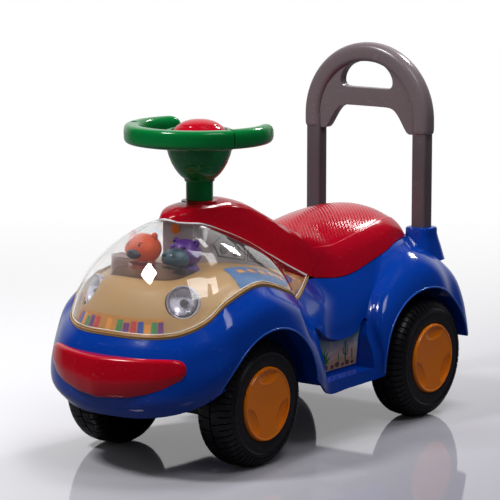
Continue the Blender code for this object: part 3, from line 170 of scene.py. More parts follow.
def oval(half_x, half_y, count=32, power=2.0, centre=(0, 0)):
    out = []
    for k in range(count):
        a = 2 * math.pi * (k + 0.5) / count
        c, s = math.cos(a), math.sin(a)
        out.append((centre[0] + half_x * math.copysign(abs(c) ** (2 / power), c),
                    centre[1] + half_y * math.copysign(abs(s) ** (2 / power), s)))
    return out


def ramp(value, start, length):
    """Rises from 0 at the start to 1 one length further on."""
    return min(1.0, max(0.0, (value - start) / length))


def smooth_step(t):
    return t * t * (3 - 2 * t)


def both_sides(line):
    """A line from the middle to the left, carried on from its mirror image on the right."""
    return [(-x, y, z) for x, y, z in reversed(line[1:])] + line


def plane_curve(points, steps):
    """A smooth line through points of a plane."""
    return [(p[0], p[1]) for p in spline([(a, b, 0) for a, b in points], steps)]


def moved(x, y, z):
    return Matrix.Translation((x, y, z))


def turned_by(angle, axis):
    return Matrix.Rotation(math.radians(angle), 4, axis)


# Hand work on one piece

def pick(obj):
    if bpy.context.object and bpy.context.object.mode != "OBJECT":
        bpy.ops.object.mode_set(mode="OBJECT")
    bpy.ops.object.select_all(action="DESELECT")
    obj.select_set(True)
    bpy.context.view_layer.objects.active = obj
    return obj


def open_mesh(obj, kind="FACE"):
    """Edit mode with nothing selected."""
    pick(obj)
    bpy.ops.object.mode_set(mode="EDIT")
    bpy.ops.mesh.select_mode(type=kind)
    bpy.ops.mesh.select_all(action="DESELECT")


def choose(obj, test, kind="FACE"):
    """Selects the faces, edges or points that pass a test."""
    bm = bmesh.from_edit_mesh(obj.data)
    items = {"FACE": bm.faces, "EDGE": bm.edges, "VERT": bm.verts}[kind]
    items.ensure_lookup_table()
    for item in items:
        item.select_set(bool(test(item)))
    bm.select_flush_mode()
    bmesh.update_edit_mesh(obj.data)


def close_mesh(obj):
    bpy.ops.object.mode_set(mode="OBJECT")
    return obj


def bake_modifiers(obj):
    pick(obj)
    for mod in list(obj.modifiers):
        bpy.ops.object.modifier_apply(modifier=mod.name)
    return obj


def bake_place(obj):
    pick(obj)
    bpy.ops.object.transform_apply(location=True, rotation=True, scale=True)
    return obj


def face_out(obj):
    """Ends the hand work with every face turned outwards."""
    bpy.ops.mesh.select_all(action="SELECT")
    bpy.ops.mesh.normals_make_consistent(inside=False)
    return close_mesh(obj)


def outward(obj):
    open_mesh(obj)
    bpy.ops.mesh.select_all(action="SELECT")
    bpy.ops.mesh.remove_doubles(threshold=0.000005)
    return face_out(obj)


def round_edges(obj, width, segments=3, angle=35, clamp=True):
    mod = obj.modifiers.new("rounded edges", "BEVEL")
    mod.width = width
    mod.segments = segments
    mod.limit_method = "ANGLE"
    mod.angle_limit = math.radians(angle)
    mod.use_clamp_overlap = clamp
    mod.harden_normals = False
    return bake_modifiers(obj)


def carve(obj, *others, operation="DIFFERENCE"):
    """Cuts the others out of obj, or joins them to it, and clears them away."""
    for other in others:
        mod = obj.modifiers.new("carve", "BOOLEAN")
        mod.operation = operation
        mod.solver = "EXACT"
        mod.object = other
    bake_modifiers(obj)
    for other in others:
        bpy.data.objects.remove(other, do_unlink=True)
    return obj


def merge(name, pieces):
    """Several meshes as one piece."""
    pick(pieces[0])
    for piece in pieces:
        piece.select_set(True)
    bpy.ops.object.join()
    obj = bpy.context.object
    obj.name = name
    return obj


def copy_of(obj, name, matrix=None):
    made = obj.copy()
    made.data = obj.data.copy()
    made.name = name
    bpy.context.scene.collection.objects.link(made)
    if matrix is not None:
        made.data.transform(matrix)
        if matrix.determinant() < 0:
            made.data.flip_normals()
    return made


def named(name):
    obj = bpy.context.object
    obj.name = name
    return obj


def block(name, low, high):
    """A box primitive between two corners."""
    low, high = Vector(low), Vector(high)
    bpy.ops.mesh.primitive_cube_add(size=1, location=(low + high) / 2, scale=high - low)
    return bake_place(named(name))


def rod(name, radius, start, end, sides=48):
    start, end = Vector(start), Vector(end)
    line = end - start
    turn = line.to_track_quat("Z", "Y").to_euler()
    bpy.ops.mesh.primitive_cylinder_add(vertices=sides, radius=radius, depth=line.length,
                                        location=(start + end) / 2, rotation=turn)
    return bake_place(named(name))


def bulb(name, centre, radii, segments=32, rings=20):
    bpy.ops.mesh.primitive_uv_sphere_add(
        segments=segments, ring_count=rings, radius=1, location=centre, scale=radii)
    return bake_place(named(name))


def turned(name, outline, sides=64, ring=False):
    """A round piece about Z, drawn ring by ring along its outline, with its ends closed or joined."""
    (r0, z0), rest = outline[0], outline[1:]
    bpy.ops.mesh.primitive_circle_add(vertices=sides, radius=r0, location=(0, 0, z0))
    obj = bake_place(named(name))
    bpy.ops.object.mode_set(mode="EDIT")
    bpy.ops.mesh.select_mode(type="EDGE")
    bpy.ops.mesh.select_all(action="SELECT")
    for r, z in rest:
        bpy.ops.mesh.extrude_region_move(TRANSFORM_OT_translate={"value": (0, 0, z - z0)})
        bpy.ops.transform.resize(value=(r / r0, r / r0, 1), center_override=(0, 0, 0))
        r0, z0 = r, z
    bpy.ops.mesh.select_all(action="DESELECT")
    bpy.ops.mesh.select_non_manifold(extend=False)
    if ring:
        bpy.ops.mesh.bridge_edge_loops()
    else:
        bpy.ops.mesh.edge_face_add()
        choose(obj, lambda e: e.is_boundary, "EDGE")
        bpy.ops.mesh.edge_face_add()
    return face_out(obj)


def plate(name, outline, low, high, axis="X"):
    """A flat outline given a thickness along one axis."""
    def at(p):
        return {"X": (low, p[0], p[1]), "Y": (p[0], low, p[1]), "Z": (p[0], p[1], low)}[axis]
    obj = from_faces(name, [at(p) for p in outline], [list(range(len(outline)))])
    open_mesh(obj)
    bpy.ops.mesh.select_all(action="SELECT")
    move = {"X": (high - low, 0, 0), "Y": (0, high - low, 0), "Z": (0, 0, high - low)}[axis]
    bpy.ops.mesh.extrude_region_move(TRANSFORM_OT_translate={"value": move})
    return face_out(obj)


def placed(name, data):
    """A new object in the scene."""
    obj = bpy.data.objects.new(name, data)
    bpy.context.scene.collection.objects.link(obj)
    return obj


def from_faces(name, verts, faces):
    mesh = bpy.data.meshes.new(name)
    mesh.from_pydata([tuple(v) for v in verts], [], faces)
    return placed(name, mesh)


def net(name, rows, wrap=False, cap=False):
    """A surface over rows of points; each row may close on itself, and the end rows may be filled."""
    count = len(rows[0])
    verts = [p for row in rows for p in row]
    faces = []
    span = count if wrap else count - 1
    for i in range(len(rows) - 1):
        for k in range(span):
            a, b = i * count + k, i * count + (k + 1) % count
            faces.append((a, b, b + count, a + count))
    if cap:
        faces.append(tuple(range(count)))
        faces.append(tuple(range((len(rows) - 1) * count, len(rows) * count)))
    return outward(from_faces(name, verts, faces))


def mirrored_net(name, grid):
    """A left half surface and its mirror image, joined on the centre line."""
    rows = [list(column) for column in grid]
    mirror = [[(-p[0], p[1], p[2]) for p in column] for column in grid]
    return net(name, mirror[::-1] + rows[1:])


def shell(obj, thickness):
    """Gives a surface a wall on its inner side."""
    mod = obj.modifiers.new("wall", "SOLIDIFY")
    mod.thickness = thickness
    mod.offset = -1
    mod.use_even_offset = True
    return bake_modifiers(obj)


def bead(name, path, radius, closed=False, resolution=4):
    """A round bead along a path."""
    curve = bpy.data.curves.new(name, "CURVE")
    curve.dimensions = "3D"
    curve.bevel_depth = radius
    curve.bevel_resolution = resolution
    curve.use_fill_caps = not closed
    line = curve.splines.new("POLY")
    line.points.add(len(path) - 1)
    for point, co in zip(line.points, path):
        point.co = (*co, 1)
    line.use_cyclic_u = closed
    pick(placed(name, curve))
    bpy.ops.object.convert(target="MESH")
    return outward(bpy.context.object)


# Effects that several finishes share

def group(name, inputs, outputs):
    tree = bpy.data.node_groups.new(name, "ShaderNodeTree")
    for label, kind, value in inputs:
        socket = tree.interface.new_socket(name=label, in_out="INPUT", socket_type=kind)
        if value is not None:
            socket.default_value = value
    for label, kind in outputs:
        tree.interface.new_socket(name=label, in_out="OUTPUT", socket_type=kind)
    return tree, tree.nodes.new("NodeGroupInput"), tree.nodes.new("NodeGroupOutput")


def node(tree, kind, links=(), **values):
    """A node with its settings; links are (input, source socket) pairs."""
    made = tree.nodes.new(kind)
    for key, value in values.items():
        if key in made.inputs.keys():
            made.inputs[key].default_value = value
        else:
            setattr(made, key, value)
    for target, source in links:
        tree.links.new(source, made.inputs[target])
    return made


def settle(made, values):
    """Sets inputs by their names."""
    for key, value in values.items():
        made.inputs[key].default_value = value


def place_of(tree, output="Object"):
    return tree.nodes.new("ShaderNodeTexCoord").outputs[output]


def fade_node(tree, value, settings):
    """A smooth fade of a value between two ends."""
    made = node(tree, "ShaderNodeMapRange", [("Value", value)], interpolation_type="SMOOTHSTEP")
    settle(made, settings)
    return made.outputs[0]


def along_node(tree, place, direction):
    """How far a place lies along a direction."""
    made = node(tree, "ShaderNodeVectorMath", [(0, place)], operation="DOT_PRODUCT")
    made.inputs[1].default_value = direction
    return made.outputs["Value"]


def seen_rays(tree, ray):
    return math_node(tree, "MAXIMUM", ray.outputs["Is Camera Ray"], ray.outputs["Is Transmission Ray"])


def math_node(tree, operation, a, b=None, c=None, clamp=False):
    made = tree.nodes.new("ShaderNodeMath")
    made.operation = operation
    made.use_clamp = clamp
    for k, value in enumerate((a, b, c)):
        if value is None:
            continue
        if isinstance(value, (int, float)):
            made.inputs[k].default_value = value
        else:
            tree.links.new(value, made.inputs[k])
    return made.outputs[0]


def mix_colour(tree, factor, a, b, blend="MIX"):
    made = tree.nodes.new("ShaderNodeMix")
    made.data_type = "RGBA"
    made.blend_type = blend
    for socket, value in ((made.inputs[0], factor), (made.inputs[6], a), (made.inputs[7], b)):
        if isinstance(value, (int, float)):
            socket.default_value = value
        elif isinstance(value, (tuple, list)):
            socket.default_value = (*value[:3], 1)
        else:
            tree.links.new(value, socket)
    return made.outputs[2]


def moulded_skin_group():
    """Moulded plastic: slow drift of the colour, faint orange peel, and small handling scuffs."""
    tree, source, sink = group(
        "moulded skin", [("Colour", "NodeSocketColor", (0.5, 0.5, 0.5, 1)), ("Drift", "NodeSocketFloat", 0.1),
        ("Roughness", "NodeSocketFloat", 0.2), ("Peel size", "NodeSocketFloat", 180.0),
        ("Peel depth", "NodeSocketFloat", 0.04), ("Scuffs", "NodeSocketFloat", 0.1)],
        [("Colour", "NodeSocketColor"), ("Roughness", "NodeSocketFloat"), ("Normal", "NodeSocketVector")])
    place = place_of(tree)
    slow = node(tree, "ShaderNodeTexNoise", [("Vector", place)], Scale=14.0, Detail=3.0)
    fine = node(tree, "ShaderNodeTexNoise", [("Vector", place), ("Scale", source.outputs["Peel size"])], Detail=2.0)
    stretch = node(tree, "ShaderNodeMapping", [("Vector", place)])
    settle(stretch, {"Scale": (60, 700, 260), "Rotation": (0.4, 0.3, 0.6)})
    scratch = node(tree, "ShaderNodeTexNoise", [("Vector", stretch.outputs[0])], Scale=1.0, Detail=4.0)
    scuff = math_node(tree, "SUBTRACT", scratch.outputs[0], 0.62, clamp=True)
    scuff = math_node(tree, "MULTIPLY", scuff, 6.0, clamp=True)
    scuff = math_node(tree, "MULTIPLY", scuff, source.outputs["Scuffs"])
    dark = mix_colour(tree, 1.0, source.outputs["Colour"], (0.72, 0.72, 0.74), "MULTIPLY")
    drift = math_node(tree, "MULTIPLY", slow.outputs[0], source.outputs["Drift"])
    tone = mix_colour(tree, drift, source.outputs["Colour"], dark)
    tone = mix_colour(tree, math_node(tree, "MULTIPLY", scuff, 0.35), tone, (0.8, 0.8, 0.82))
    tree.links.new(tone, sink.inputs["Colour"])
    rough = math_node(tree, "MULTIPLY_ADD", slow.outputs[0], 0.06, source.outputs["Roughness"])
    rough = math_node(tree, "ADD", rough, scuff, clamp=True)
    tree.links.new(rough, sink.inputs["Roughness"])
    bump = node(tree, "ShaderNodeBump", [("Height", fine.outputs[0]), ("Strength", source.outputs["Peel depth"])],
                Distance=0.0004)
    tree.links.new(bump.outputs[0], sink.inputs["Normal"])
    return tree


SKIN = moulded_skin_group()


def blank(name):
    mat = bpy.data.materials.new(name)
    mat.use_nodes = True
    tree = mat.node_tree
    return mat, tree, tree.nodes["Principled BSDF"]


def plastic(name, colour, roughness, drift, peel=(190.0, 0.05), scuffs=0.12, specular=0.5):
    """A moulded plastic finish; peel is the size and depth of its orange peel."""
    mat, tree, shader = blank(name)
    skin = tree.nodes.new("ShaderNodeGroup")
    skin.node_tree = SKIN
    settle(skin, {"Colour": (*colour, 1), "Drift": drift, "Roughness": roughness, "Peel size": peel[0],
                  "Peel depth": peel[1], "Scuffs": scuffs})
    for output, target in (("Colour", "Base Color"), ("Roughness", "Roughness"), ("Normal", "Normal")):
        tree.links.new(skin.outputs[output], shader.inputs[target])
    settle(shader, {"Coat Roughness": 0.04, "Specular IOR Level": specular})
    return mat


FINISH = {}
for key, label, colour, roughness, drift, settings in (
        ("blue", "blue moulded gloss", (0.001, 0.038, 0.31), 0.09, 0.35, {"specular": 0.36}),
        ("red", "red moulded gloss", (0.45, 0.001, 0.012), 0.10, 0.3, {"specular": 0.36}),
        ("green", "green moulded gloss", (0.001, 0.175, 0.036), 0.12, 0.3, {"specular": 0.36}),
        ("cream", "cream deck plastic", (0.45, 0.26, 0.095), 0.28, 0.3, {"specular": 0.4}),
        ("grey", "warm grey handle plastic", (0.175, 0.138, 0.148), 0.22, 0.3, {"peel": (120.0, 0.015)}),
        ("console", "console grey plastic", (0.36, 0.31, 0.32), 0.4, 0.3, {}),
        ("black", "black moulded plastic", (0.010, 0.010, 0.013), 0.4, 0.3, {"peel": (400.0, 0.15)}),
        ("tyre", "tyre black plastic", (0.007, 0.007, 0.010), 0.34, 0.5,
         {"peel": (320.0, 0.2), "scuffs": 0.25, "specular": 0.32}),
        ("orange", "orange hub plastic", (0.80, 0.19, 0.003), 0.18, 0.3, {"specular": 0.36}),
        ("bear", "orange figure vinyl", (0.70, 0.075, 0.008), 0.32, 0.3, {"specular": 0.3}),
        ("hippo", "purple figure vinyl", (0.075, 0.010, 0.19), 0.32, 0.3, {}),
        ("muzzle_dark", "dark muzzle vinyl", (0.03, 0.03, 0.06), 0.3, 0.3, {}),
        ("muzzle_teal", "teal muzzle vinyl", (0.012, 0.05, 0.075), 0.3, 0.3, {}),
        ("seat", "red seat gloss", (0.43, 0.001, 0.014), 0.13, 0.3, {"specular": 0.36}),
        ("grey_leg", "warm grey leg plastic", (0.105, 0.080, 0.090), 0.30, 0.3, {}),
        ("console_dark", "dark console trim", (0.10, 0.095, 0.105), 0.4, 0.3, {}),
        # Near-white: the white plastic of the console levers, and a painted reflection of the backdrop on the dome
        # flange.
        ("milky_and_painted_reflection", "milky clear edge", (0.86, 0.86, 0.88), 0.15, 0.1, {}),
        # A painted highlight: the bright bead along the foot of the clear dome.
        ("painted_highlight_edge", "dome foot painted highlight", (0.80, 0.74, 0.66), 0.15, 0.1, {}),
        ("lamp_edge", "lilac lamp edge", (0.50, 0.45, 0.53), 0.15, 0.2, {}),
        # Lighter than the body blue: a painted highlight for the rolled arch edges.
        ("blue_painted_highlight", "painted highlight blue roll", (0.010, 0.085, 0.46), 0.20, 0.2, {}),
        ("badge", "orange badge", (0.75, 0.16, 0.005), 0.3, 0.2, {})):
    FINISH[key] = plastic(label, colour, roughness, drift, **settings)
for ink, tone in {
        "ink_red": (0.55, 0.02, 0.02), "ink_blue": (0.01, 0.06, 0.36), "ink_orange": (0.75, 0.28, 0.02),
        "ink_green": (0.02, 0.22, 0.05), "ink_violet": (0.14, 0.01, 0.16), "ink_flag": (0.01, 0.12, 0.34),
        "band_ink": (0.52, 0.20, 0.015), "hills": (0.46, 0.30, 0.28), "sand": (0.42, 0.24, 0.15),
        "plants": (0.01, 0.16, 0.06), "stones": (0.10, 0.05, 0.04)}.items():
    FINISH[ink] = plastic(ink.replace("_", " ") + " print", tone, 0.35, 0.45, (300.0, 0.03), 0.3)


def metal(name, colour, roughness, stretch):
    """Drawn steel or plating with fine lines along one direction."""
    mat, tree, shader = blank(name)
    place = place_of(tree)
    grain = node(tree, "ShaderNodeMapping", [("Vector", place)])
    grain.inputs["Scale"].default_value = stretch
    lines = node(tree, "ShaderNodeTexNoise", [("Vector", grain.outputs[0])], Scale=1.0, Detail=3.0)
    tone = mix_colour(tree, lines.outputs[0], colour, tuple(c * 0.78 for c in colour))
    tree.links.new(tone, shader.inputs["Base Color"])
    tree.links.new(math_node(tree, "MULTIPLY_ADD", lines.outputs[0], 0.15, roughness), shader.inputs["Roughness"])
    shader.inputs["Metallic"].default_value = 1.0
    return mat


FINISH["steel"] = metal("drawn steel", (0.55, 0.55, 0.57), 0.22, (40, 900, 900))
FINISH["chrome"] = metal("plated reflector", (0.66, 0.59, 0.67), 0.18, (300, 300, 300))


def glassy(name, tint, roughness, ior):
    """Clear plastic with a faint smear in its polish."""
    mat, tree, shader = blank(name)
    place = place_of(tree)
    smear = node(tree, "ShaderNodeTexNoise", [("Vector", place)], Scale=30.0, Detail=3.0)
    tree.links.new(math_node(tree, "MULTIPLY_ADD", smear.outputs[0], 0.03, roughness), shader.inputs["Roughness"])
    settle(shader, {"Base Color": (*tint, 1), "Transmission Weight": 1.0, "IOR": ior})
    return mat


FINISH["clear"] = glassy("clear dome plastic", (0.985, 0.99, 1.0), 0.0, 1.4)
FINISH["lens"] = glassy("clear lamp lens", (0.97, 0.98, 1.0), 0.01, 1.45)
FINISH["smoke"] = glassy("smoked screen plastic", (0.46, 0.34, 0.31), 0.02, 1.35)


def printed_sky():
    """A label whose sky pales from teal at the top to a warm haze at the skyline."""
    mat, tree, shader = blank("printed sky")
    place = place_of(tree)
    parts = node(tree, "ShaderNodeSeparateXYZ", [("Vector", place)])
    cloud = node(tree, "ShaderNodeTexNoise", [("Vector", place)], Scale=70.0, Detail=3.0)
    height = fade_node(tree, parts.outputs["Z"], {"From Min": 0.104, "From Max": 0.132})
    tone = mix_colour(tree, height, (0.50, 0.40, 0.42), (0.012, 0.17, 0.24))
    streak = math_node(tree, "SUBTRACT", cloud.outputs[0], 0.52, clamp=True)
    streak = math_node(tree, "MULTIPLY", streak, 2.2, clamp=True)
    tree.links.new(mix_colour(tree, streak, tone, (0.55, 0.52, 0.55)), shader.inputs["Base Color"])
    tree.links.new(math_node(tree, "MULTIPLY_ADD", cloud.outputs[0], 0.1, 0.22), shader.inputs["Roughness"])
    return mat


FINISH["label"] = printed_sky()


def finish_piece(obj, name, finish, body="chassis", replaces=(), angle=38):
    """Names a piece, gives it its finish and puts it on its body of the frame."""
    obj.name = name
    obj.data.name = name
    pick(obj)
    if angle:
        bpy.ops.object.shade_smooth_by_angle(angle=math.radians(angle))
    obj.data.materials.clear()
    obj.data.materials.append(FINISH[finish])
    if replaces:
        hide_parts(*replaces)
    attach(obj, body)
    return obj


def refinish(finish, *nodes):
    """Gives a node of the frame a finer material."""
    for name in nodes:
        data = NODES[name].data
        data.materials.clear()
        data.materials.append(FINISH[finish])


# Body shell

def eased(grid, first, last, rounds):
    """The surface with small waves between its ribs smoothed away, from one rib to another."""
    out = grid.copy()
    for k in range(rounds * 2):
        mid = out[first:last].copy()
        pull = (mid[:-2] + mid[2:]) * 0.5 - mid[1:-1]
        out[first + 1:last - 1] += pull * (-0.53 if k % 2 else 0.50)
    return out


BODY = eased(surface(BODY_RIBS, 6, 4), 56, 90, 60)
EDGE = BODY[:, -1]


def closed_half_loft(name, grid):
    """A closed solid from a left half surface, its mirror image and covers above and below."""
    verts, faces, index = [], [], {}

    def add(p):
        key = tuple(round(c, 7) for c in p)
        if key not in index:
            index[key] = len(verts)
            verts.append(tuple(p))
        return index[key]

    left = [[add(p) for p in column] for column in grid]
    right = [[add((-p[0], p[1], p[2])) for p in column] for column in grid]
    for i in range(len(grid) - 1):
        for side in (left, right):
            for j in range(len(grid[0]) - 1):
                faces.append((side[i][j], side[i + 1][j], side[i + 1][j + 1], side[i][j + 1]))
        for j in (0, len(grid[0]) - 1):
            ring = [left[i][j], left[i + 1][j], right[i + 1][j], right[i][j]]
            faces.append(tuple(dict.fromkeys(ring)))
    return outward(from_faces(name, verts, faces))


def foot_recess(name, side, grow):
    """The room over the running board; its rear wall runs up into the crease of the fender."""
    rear = mm((3.5, 108), (5, 121), (12, 135), (15, 140))
    top = mm(
        (-22, 148), (-8, 139), (8, 131.5), (28, 127), (48, 126.2), (66, 128.5), (80, 134), (90, 140), (96.5, 144))
    front, lean, rear_y = -0.024, 0.012, 0.085
    pts = [(front - grow, BOARD_TOP - grow), (rear_y + grow, BOARD_TOP - grow)]
    pts += [(rear_y + y + grow, z - grow * 0.3) for y, z in plane_curve(rear, 5)]
    pts += [(y + grow * 0.3, z + grow) for y, z in reversed(plane_curve(top, 4))]
    pts.append((front - lean - grow, 0.154 + grow))
    rows = [[(side * x, y, z) for y, z in pts] for x in (RECESS_X - grow, 0.17)]
    return net(name, rows, wrap=True, cap=True)


def loft(name, rings):
    return net(name, rings, wrap=True, cap=True)


def make_body():
    body = closed_half_loft("body_skin", BODY)
    skin = surface(BODY_RIBS, 3, 2)
    edge = skin[:, -1]
    tangent = np.gradient(edge[:, :2], axis=0)
    tangent[0], tangent[-1] = (1, 0), (-1, 0)
    inward = np.stack([-tangent[:, 1], tangent[:, 0]], axis=1)
    inward /= np.linalg.norm(inward, axis=1)[:, None]
    rows = []
    for i, column in enumerate(offset(skin, -WALL - 0.0004)):
        low = column[0].copy()
        low[2] = 0.02
        under = edge[i].copy()
        under[:2] += inward[i] * 0.009
        under[2] -= WALL
        if abs(edge[i][0]) < 1e-7:
            under[0] = 0.0
        above = under.copy()
        above[2] += 0.04
        rows.append([low, *column[:-1], under, above])
    hollow = closed_half_loft("hollow", np.array(rows))
    axis = lambda x, y: (x, y, WHEEL_R)
    arch = lambda x: (x, REAR_ARCH_Y, REAR_ARCH_Z)
    carve(hollow, rod("housing_wall", TUNNEL_R + WALL, axis(-0.2, FRONT_Y), axis(0.2, FRONT_Y), 128))
    cutters = [rod("housing", TUNNEL_R, axis(-ARCH_LIP_X, FRONT_Y), axis(ARCH_LIP_X, FRONT_Y), 128),
               rod("front_arch", ARCH_R, axis(-0.2, FRONT_Y), axis(0.2, FRONT_Y), 128)]
    for _, side in SIDES:
        carve(
            hollow, rod("well_wall", REAR_ARCH_R + WALL, arch(side * (REAR_WELL_X - WALL)), arch(side * 0.2),
            128), foot_recess("recess_wall", side, WALL))
        cutters.append(rod("well", REAR_ARCH_R, arch(side * REAR_WELL_X), arch(side * 0.2), 128))
        cutters.append(foot_recess("recess", side, 0.0))
    carve(body, *cutters, hollow)
    for _, side in SIDES:
        x = side * HANDLE_X
        rings = []
        for grow_x, grow_y, z, power in (
                (-.004, -.004, .155, 5), (-.004, -.004, .188, 5), (.010, .010, .194, 3),
                (.0072, .0072, .203, 3.2), (.0045, .0045, .212, 3.5), (.0018, .0018, .221, 3.5),
                (0, 0, .2285, 3.5), (0, 0, .2345, 3.5), (-.0008, -.0008, .2362, 3.5),
                (-.0022, -.0022, .2368, 3.5)):
            outline = oval(0.0185 + grow_x, 0.0170 + grow_y, 40, power, (x, HANDLE_Y))
            rings.append([(p[0], p[1], z) for p in outline])
        carve(body, loft("socket", rings), operation="UNION")
        bore = oval(0.0116, 0.0104, 32, 5.0, (x, HANDLE_Y))
        carve(body, plate("leg_bore", bore, LEG_LOW, 0.3, "Z"))
        carve(body, rod("axle_hole", 0.008, axis(side * 0.07, REAR_Y), axis(side * 0.09, REAR_Y)))
    carve(body, block("bin_shelf", (-0.079, 0.062, 0.0965), (0.079, 0.232, 0.0995)), operation="UNION")
    carve(body, rod("column_hole", 0.0045, (0, COLUMN_Y, 0.15), (0, COLUMN_Y, 0.20), 24))
    finish_piece(body, "body_shell_skin", "blue", replaces=("body_shell",), angle=32)
    return body


def skin_x(y, z):
    """How far out the body's skin lies at a place on its side."""
    best = None
    for i in range(len(BODY) - 1):
        for j in range(len(BODY[0]) - 1):
            quad = (BODY[i][j], BODY[i + 1][j], BODY[i + 1][j + 1], BODY[i][j + 1])
            for tri in ((quad[0], quad[1], quad[2]), (quad[0], quad[2], quad[3])):
                (y0, z0), (y1, z1), (y2, z2) = [(q[1], q[2]) for q in tri]
                area = (y1 - y0) * (z2 - z0) - (y2 - y0) * (z1 - z0)
                if abs(area) < 1e-12:
                    continue
                b = ((y - y0) * (z2 - z0) - (y2 - y0) * (z - z0)) / area
                c = ((y1 - y0) * (z - z0) - (y - y0) * (z1 - z0)) / area
                if b >= -1e-4 and c >= -1e-4 and b + c <= 1.0001:
                    x = tri[0][0] + b * (tri[1][0] - tri[0][0]) + c * (tri[2][0] - tri[0][0])
                    best = x if best is None else max(best, x)
    return best


def make_arch_beads():
    """The rolled edge round each wheel arch and along the lower lips; the arch rolls get a lighter blue, a painted
    highlight.
    """
    arches = (("front", FRONT_Y, WHEEL_R, ARCH_R, 178), ("rear", REAR_ARCH_Y, REAR_ARCH_Z, REAR_ARCH_R, 180))
    for side_name, side in SIDES:
        for part, centre, height, radius, end in arches:
            path = []
            for k in range(73):
                a = math.radians(2 + (end - 2) * k / 72)
                y, z = centre + (radius + 0.0002) * math.cos(a), height + (radius + 0.0002) * math.sin(a)
                x = skin_x(y, z)
                if x is not None and x > 0.09:
                    path.append((side * (min(x, 0.1425) - 0.0006), y, z))
            roll = bead(f"{part}_arch_roll_{side_name}", path, 0.0013)
            # The arch roll is painted a lighter blue as a painted highlight along its edge.
            finish_piece(roll, f"{part}_arch_roll_{side_name}", "blue_painted_highlight")
    low = [tuple(p) for p in BODY[:, 0]]
    nose = [p for p in low if p[1] < FRONT_Y - 0.080]
    tail = [p for p in low if p[1] > REAR_Y + 0.080]
    for name, half in (("nose_lip_roll", nose), ("tail_lip_roll", tail)):
        line = both_sides(sorted(half, key=lambda p: p[0]))
        roll = bead(name, [(x * 0.994, y - math.copysign(0.0014, y), z + 0.0006) for x, y, z in line], 0.0012)
        finish_piece(roll, name, "blue")


def make_stickers():
    """A printed landscape on each side wall of the foot recess: sky, hills, sand, stones and plants."""
    def curve(points):
        return plane_curve(points, 4)

    foot = [(-.018, .0868), (.0822, .0868)]
    top = curve(mm(
        (93.5, 133.5), (90, 137), (82, 131.2), (66, 125.2), (46, 122.5), (28, 123.5), (10, 127.5), (-4, 133),
        (-18, 139.5)))
    sky = foot + [(.0850, .102), (.0875, .121)] + top
    hills = foot + [(.0850, .102)] + curve(mm(
        (85.6, 106), (74, 110), (62, 108), (50, 112), (36, 108.5), (22, 106), (6, 108.5), (-18, 105)))
    sand = foot + [(.0838, .094)] + curve(mm((83.8, 95.5), (64, 98), (48, 101), (30, 99), (10, 96.5), (-18, 98.5)))
    stones = [[(y + r * 1.5 * math.cos(a), 0.0905 + up + r * math.sin(a))
               for a in [math.pi * k / 5 for k in range(10)]]
              for y, r, up in mm(
                  (-10, 3, 1), (4, 2.4, 0), (16, 3.4, 1), (30, 2.6, 0), (41, 3.4, 1.5), (53, 2.2, 0), (63, 3.2, 1),
                  (74, 2.4, 0))]

    def trunk(y, low, high, r):
        return [(y - r, low), (y + r, low)] + [(y + r * math.cos(a), high + r * math.sin(a))
                                               for a in [math.pi * k / 6 for k in range(7)]]

    plants = [trunk(*stem) for stem in mm(
        (59, 93, 119, 1.6), (54.5, 104, 111, 1), (63.5, 102, 113, 1), (73.5, 95, 107, 1.2), (44, 95, 105, 1))]
    plants += [mm((54.5, 103), (59, 103), (59, 104.6), (54.5, 104.6)),
               mm((59, 101), (63.5, 101), (63.5, 102.6), (59, 102.6))]
    for n in range(7):
        a = math.radians(25 + 130 * n / 6)
        tip = (.008 + .021 * math.cos(a), .0930 + .027 * math.sin(a))
        width = (-.0030 * math.sin(a), .0030 * math.cos(a))
        middle = ((.008 + tip[0]) / 2, (.0930 + tip[1]) / 2)
        plants.append([(.008, .0925), (middle[0] - width[0], middle[1] - width[1]), tip,
                       (middle[0] + width[0], middle[1] + width[1])])
    for side_name, side in SIDES:
        layers = (
            ("sky", "label", [sky], .10370, .10400), ("hills", "hills", [hills], .10395, .10403),
            ("sand", "sand", [sand], .10400, .10406), ("stones", "stones", stones, .10404, .10409),
            ("plants", "plants", plants, .10404, .10411))
        for name, finish, outlines, low, high in layers:
            made = merge(name, [plate(name, outline, side * low, side * high) for outline in outlines])
            finish_piece(made, f"sticker_{name}_{side_name}", finish, angle=0,
                         replaces=("side_sticker_" + side_name,) if name == "sky" else ())


# Bumper

def make_bumper():
    stations = mm(
        (0, -307.2, 118, 146.5, 98), (30, -301, 119.5, 146.7, 99.5), (60, -290.5, 122.5, 147, 104),
        (80, -280, 125.5, 147.2, 109), (91, -272, 128.5, 146.2, 114), (97, -266.8, 130.5, 143, 119),
        (99.8, -262.5, 131.5, 138.5, 124.5), (100.6, -260, 131.8, 135, 128.5))
    right = [(-s[0], *s[1:]) for s in reversed(stations[1:])]
    sections = []
    line = spline(right, 4)[:-1] + spline([right[-1]] + stations[:1], 4)[:-1] + spline(stations, 4)
    for x, y, z, top, low in line:
        back = y + 0.035
        size = (top - low) / 0.0485
        corner = [
            (back, top), (y + 0.0095, top), (y + 0.0058, top - 0.0004), (y + 0.0036, top - 0.0020 * size),
            (y + 0.0026, top - 0.0050 * size), (y + 0.0006, z + 0.0042 * size), (y, z),
            (y + 0.0004, z - 0.0034 * size), (y + 0.0020, low + 0.0052 * size), (y + 0.0032, low + 0.0026 * size),
            (y + 0.0052, low + 0.0007), (y + 0.0085, low), (back, low)]
        sections.append([(x, py, pz) for py, pz in corner])
    bumper = net("bumper_bar", sections, wrap=True, cap=True)
    carve(bumper, closed_half_loft("body_room", offset(BODY, 0.0002)))
    round_edges(bumper, 0.0012, 3, 40)
    finish_piece(bumper, "bumper_bar", "red", replaces=("front_bumper",), angle=40)


# Cowl, seat and dome

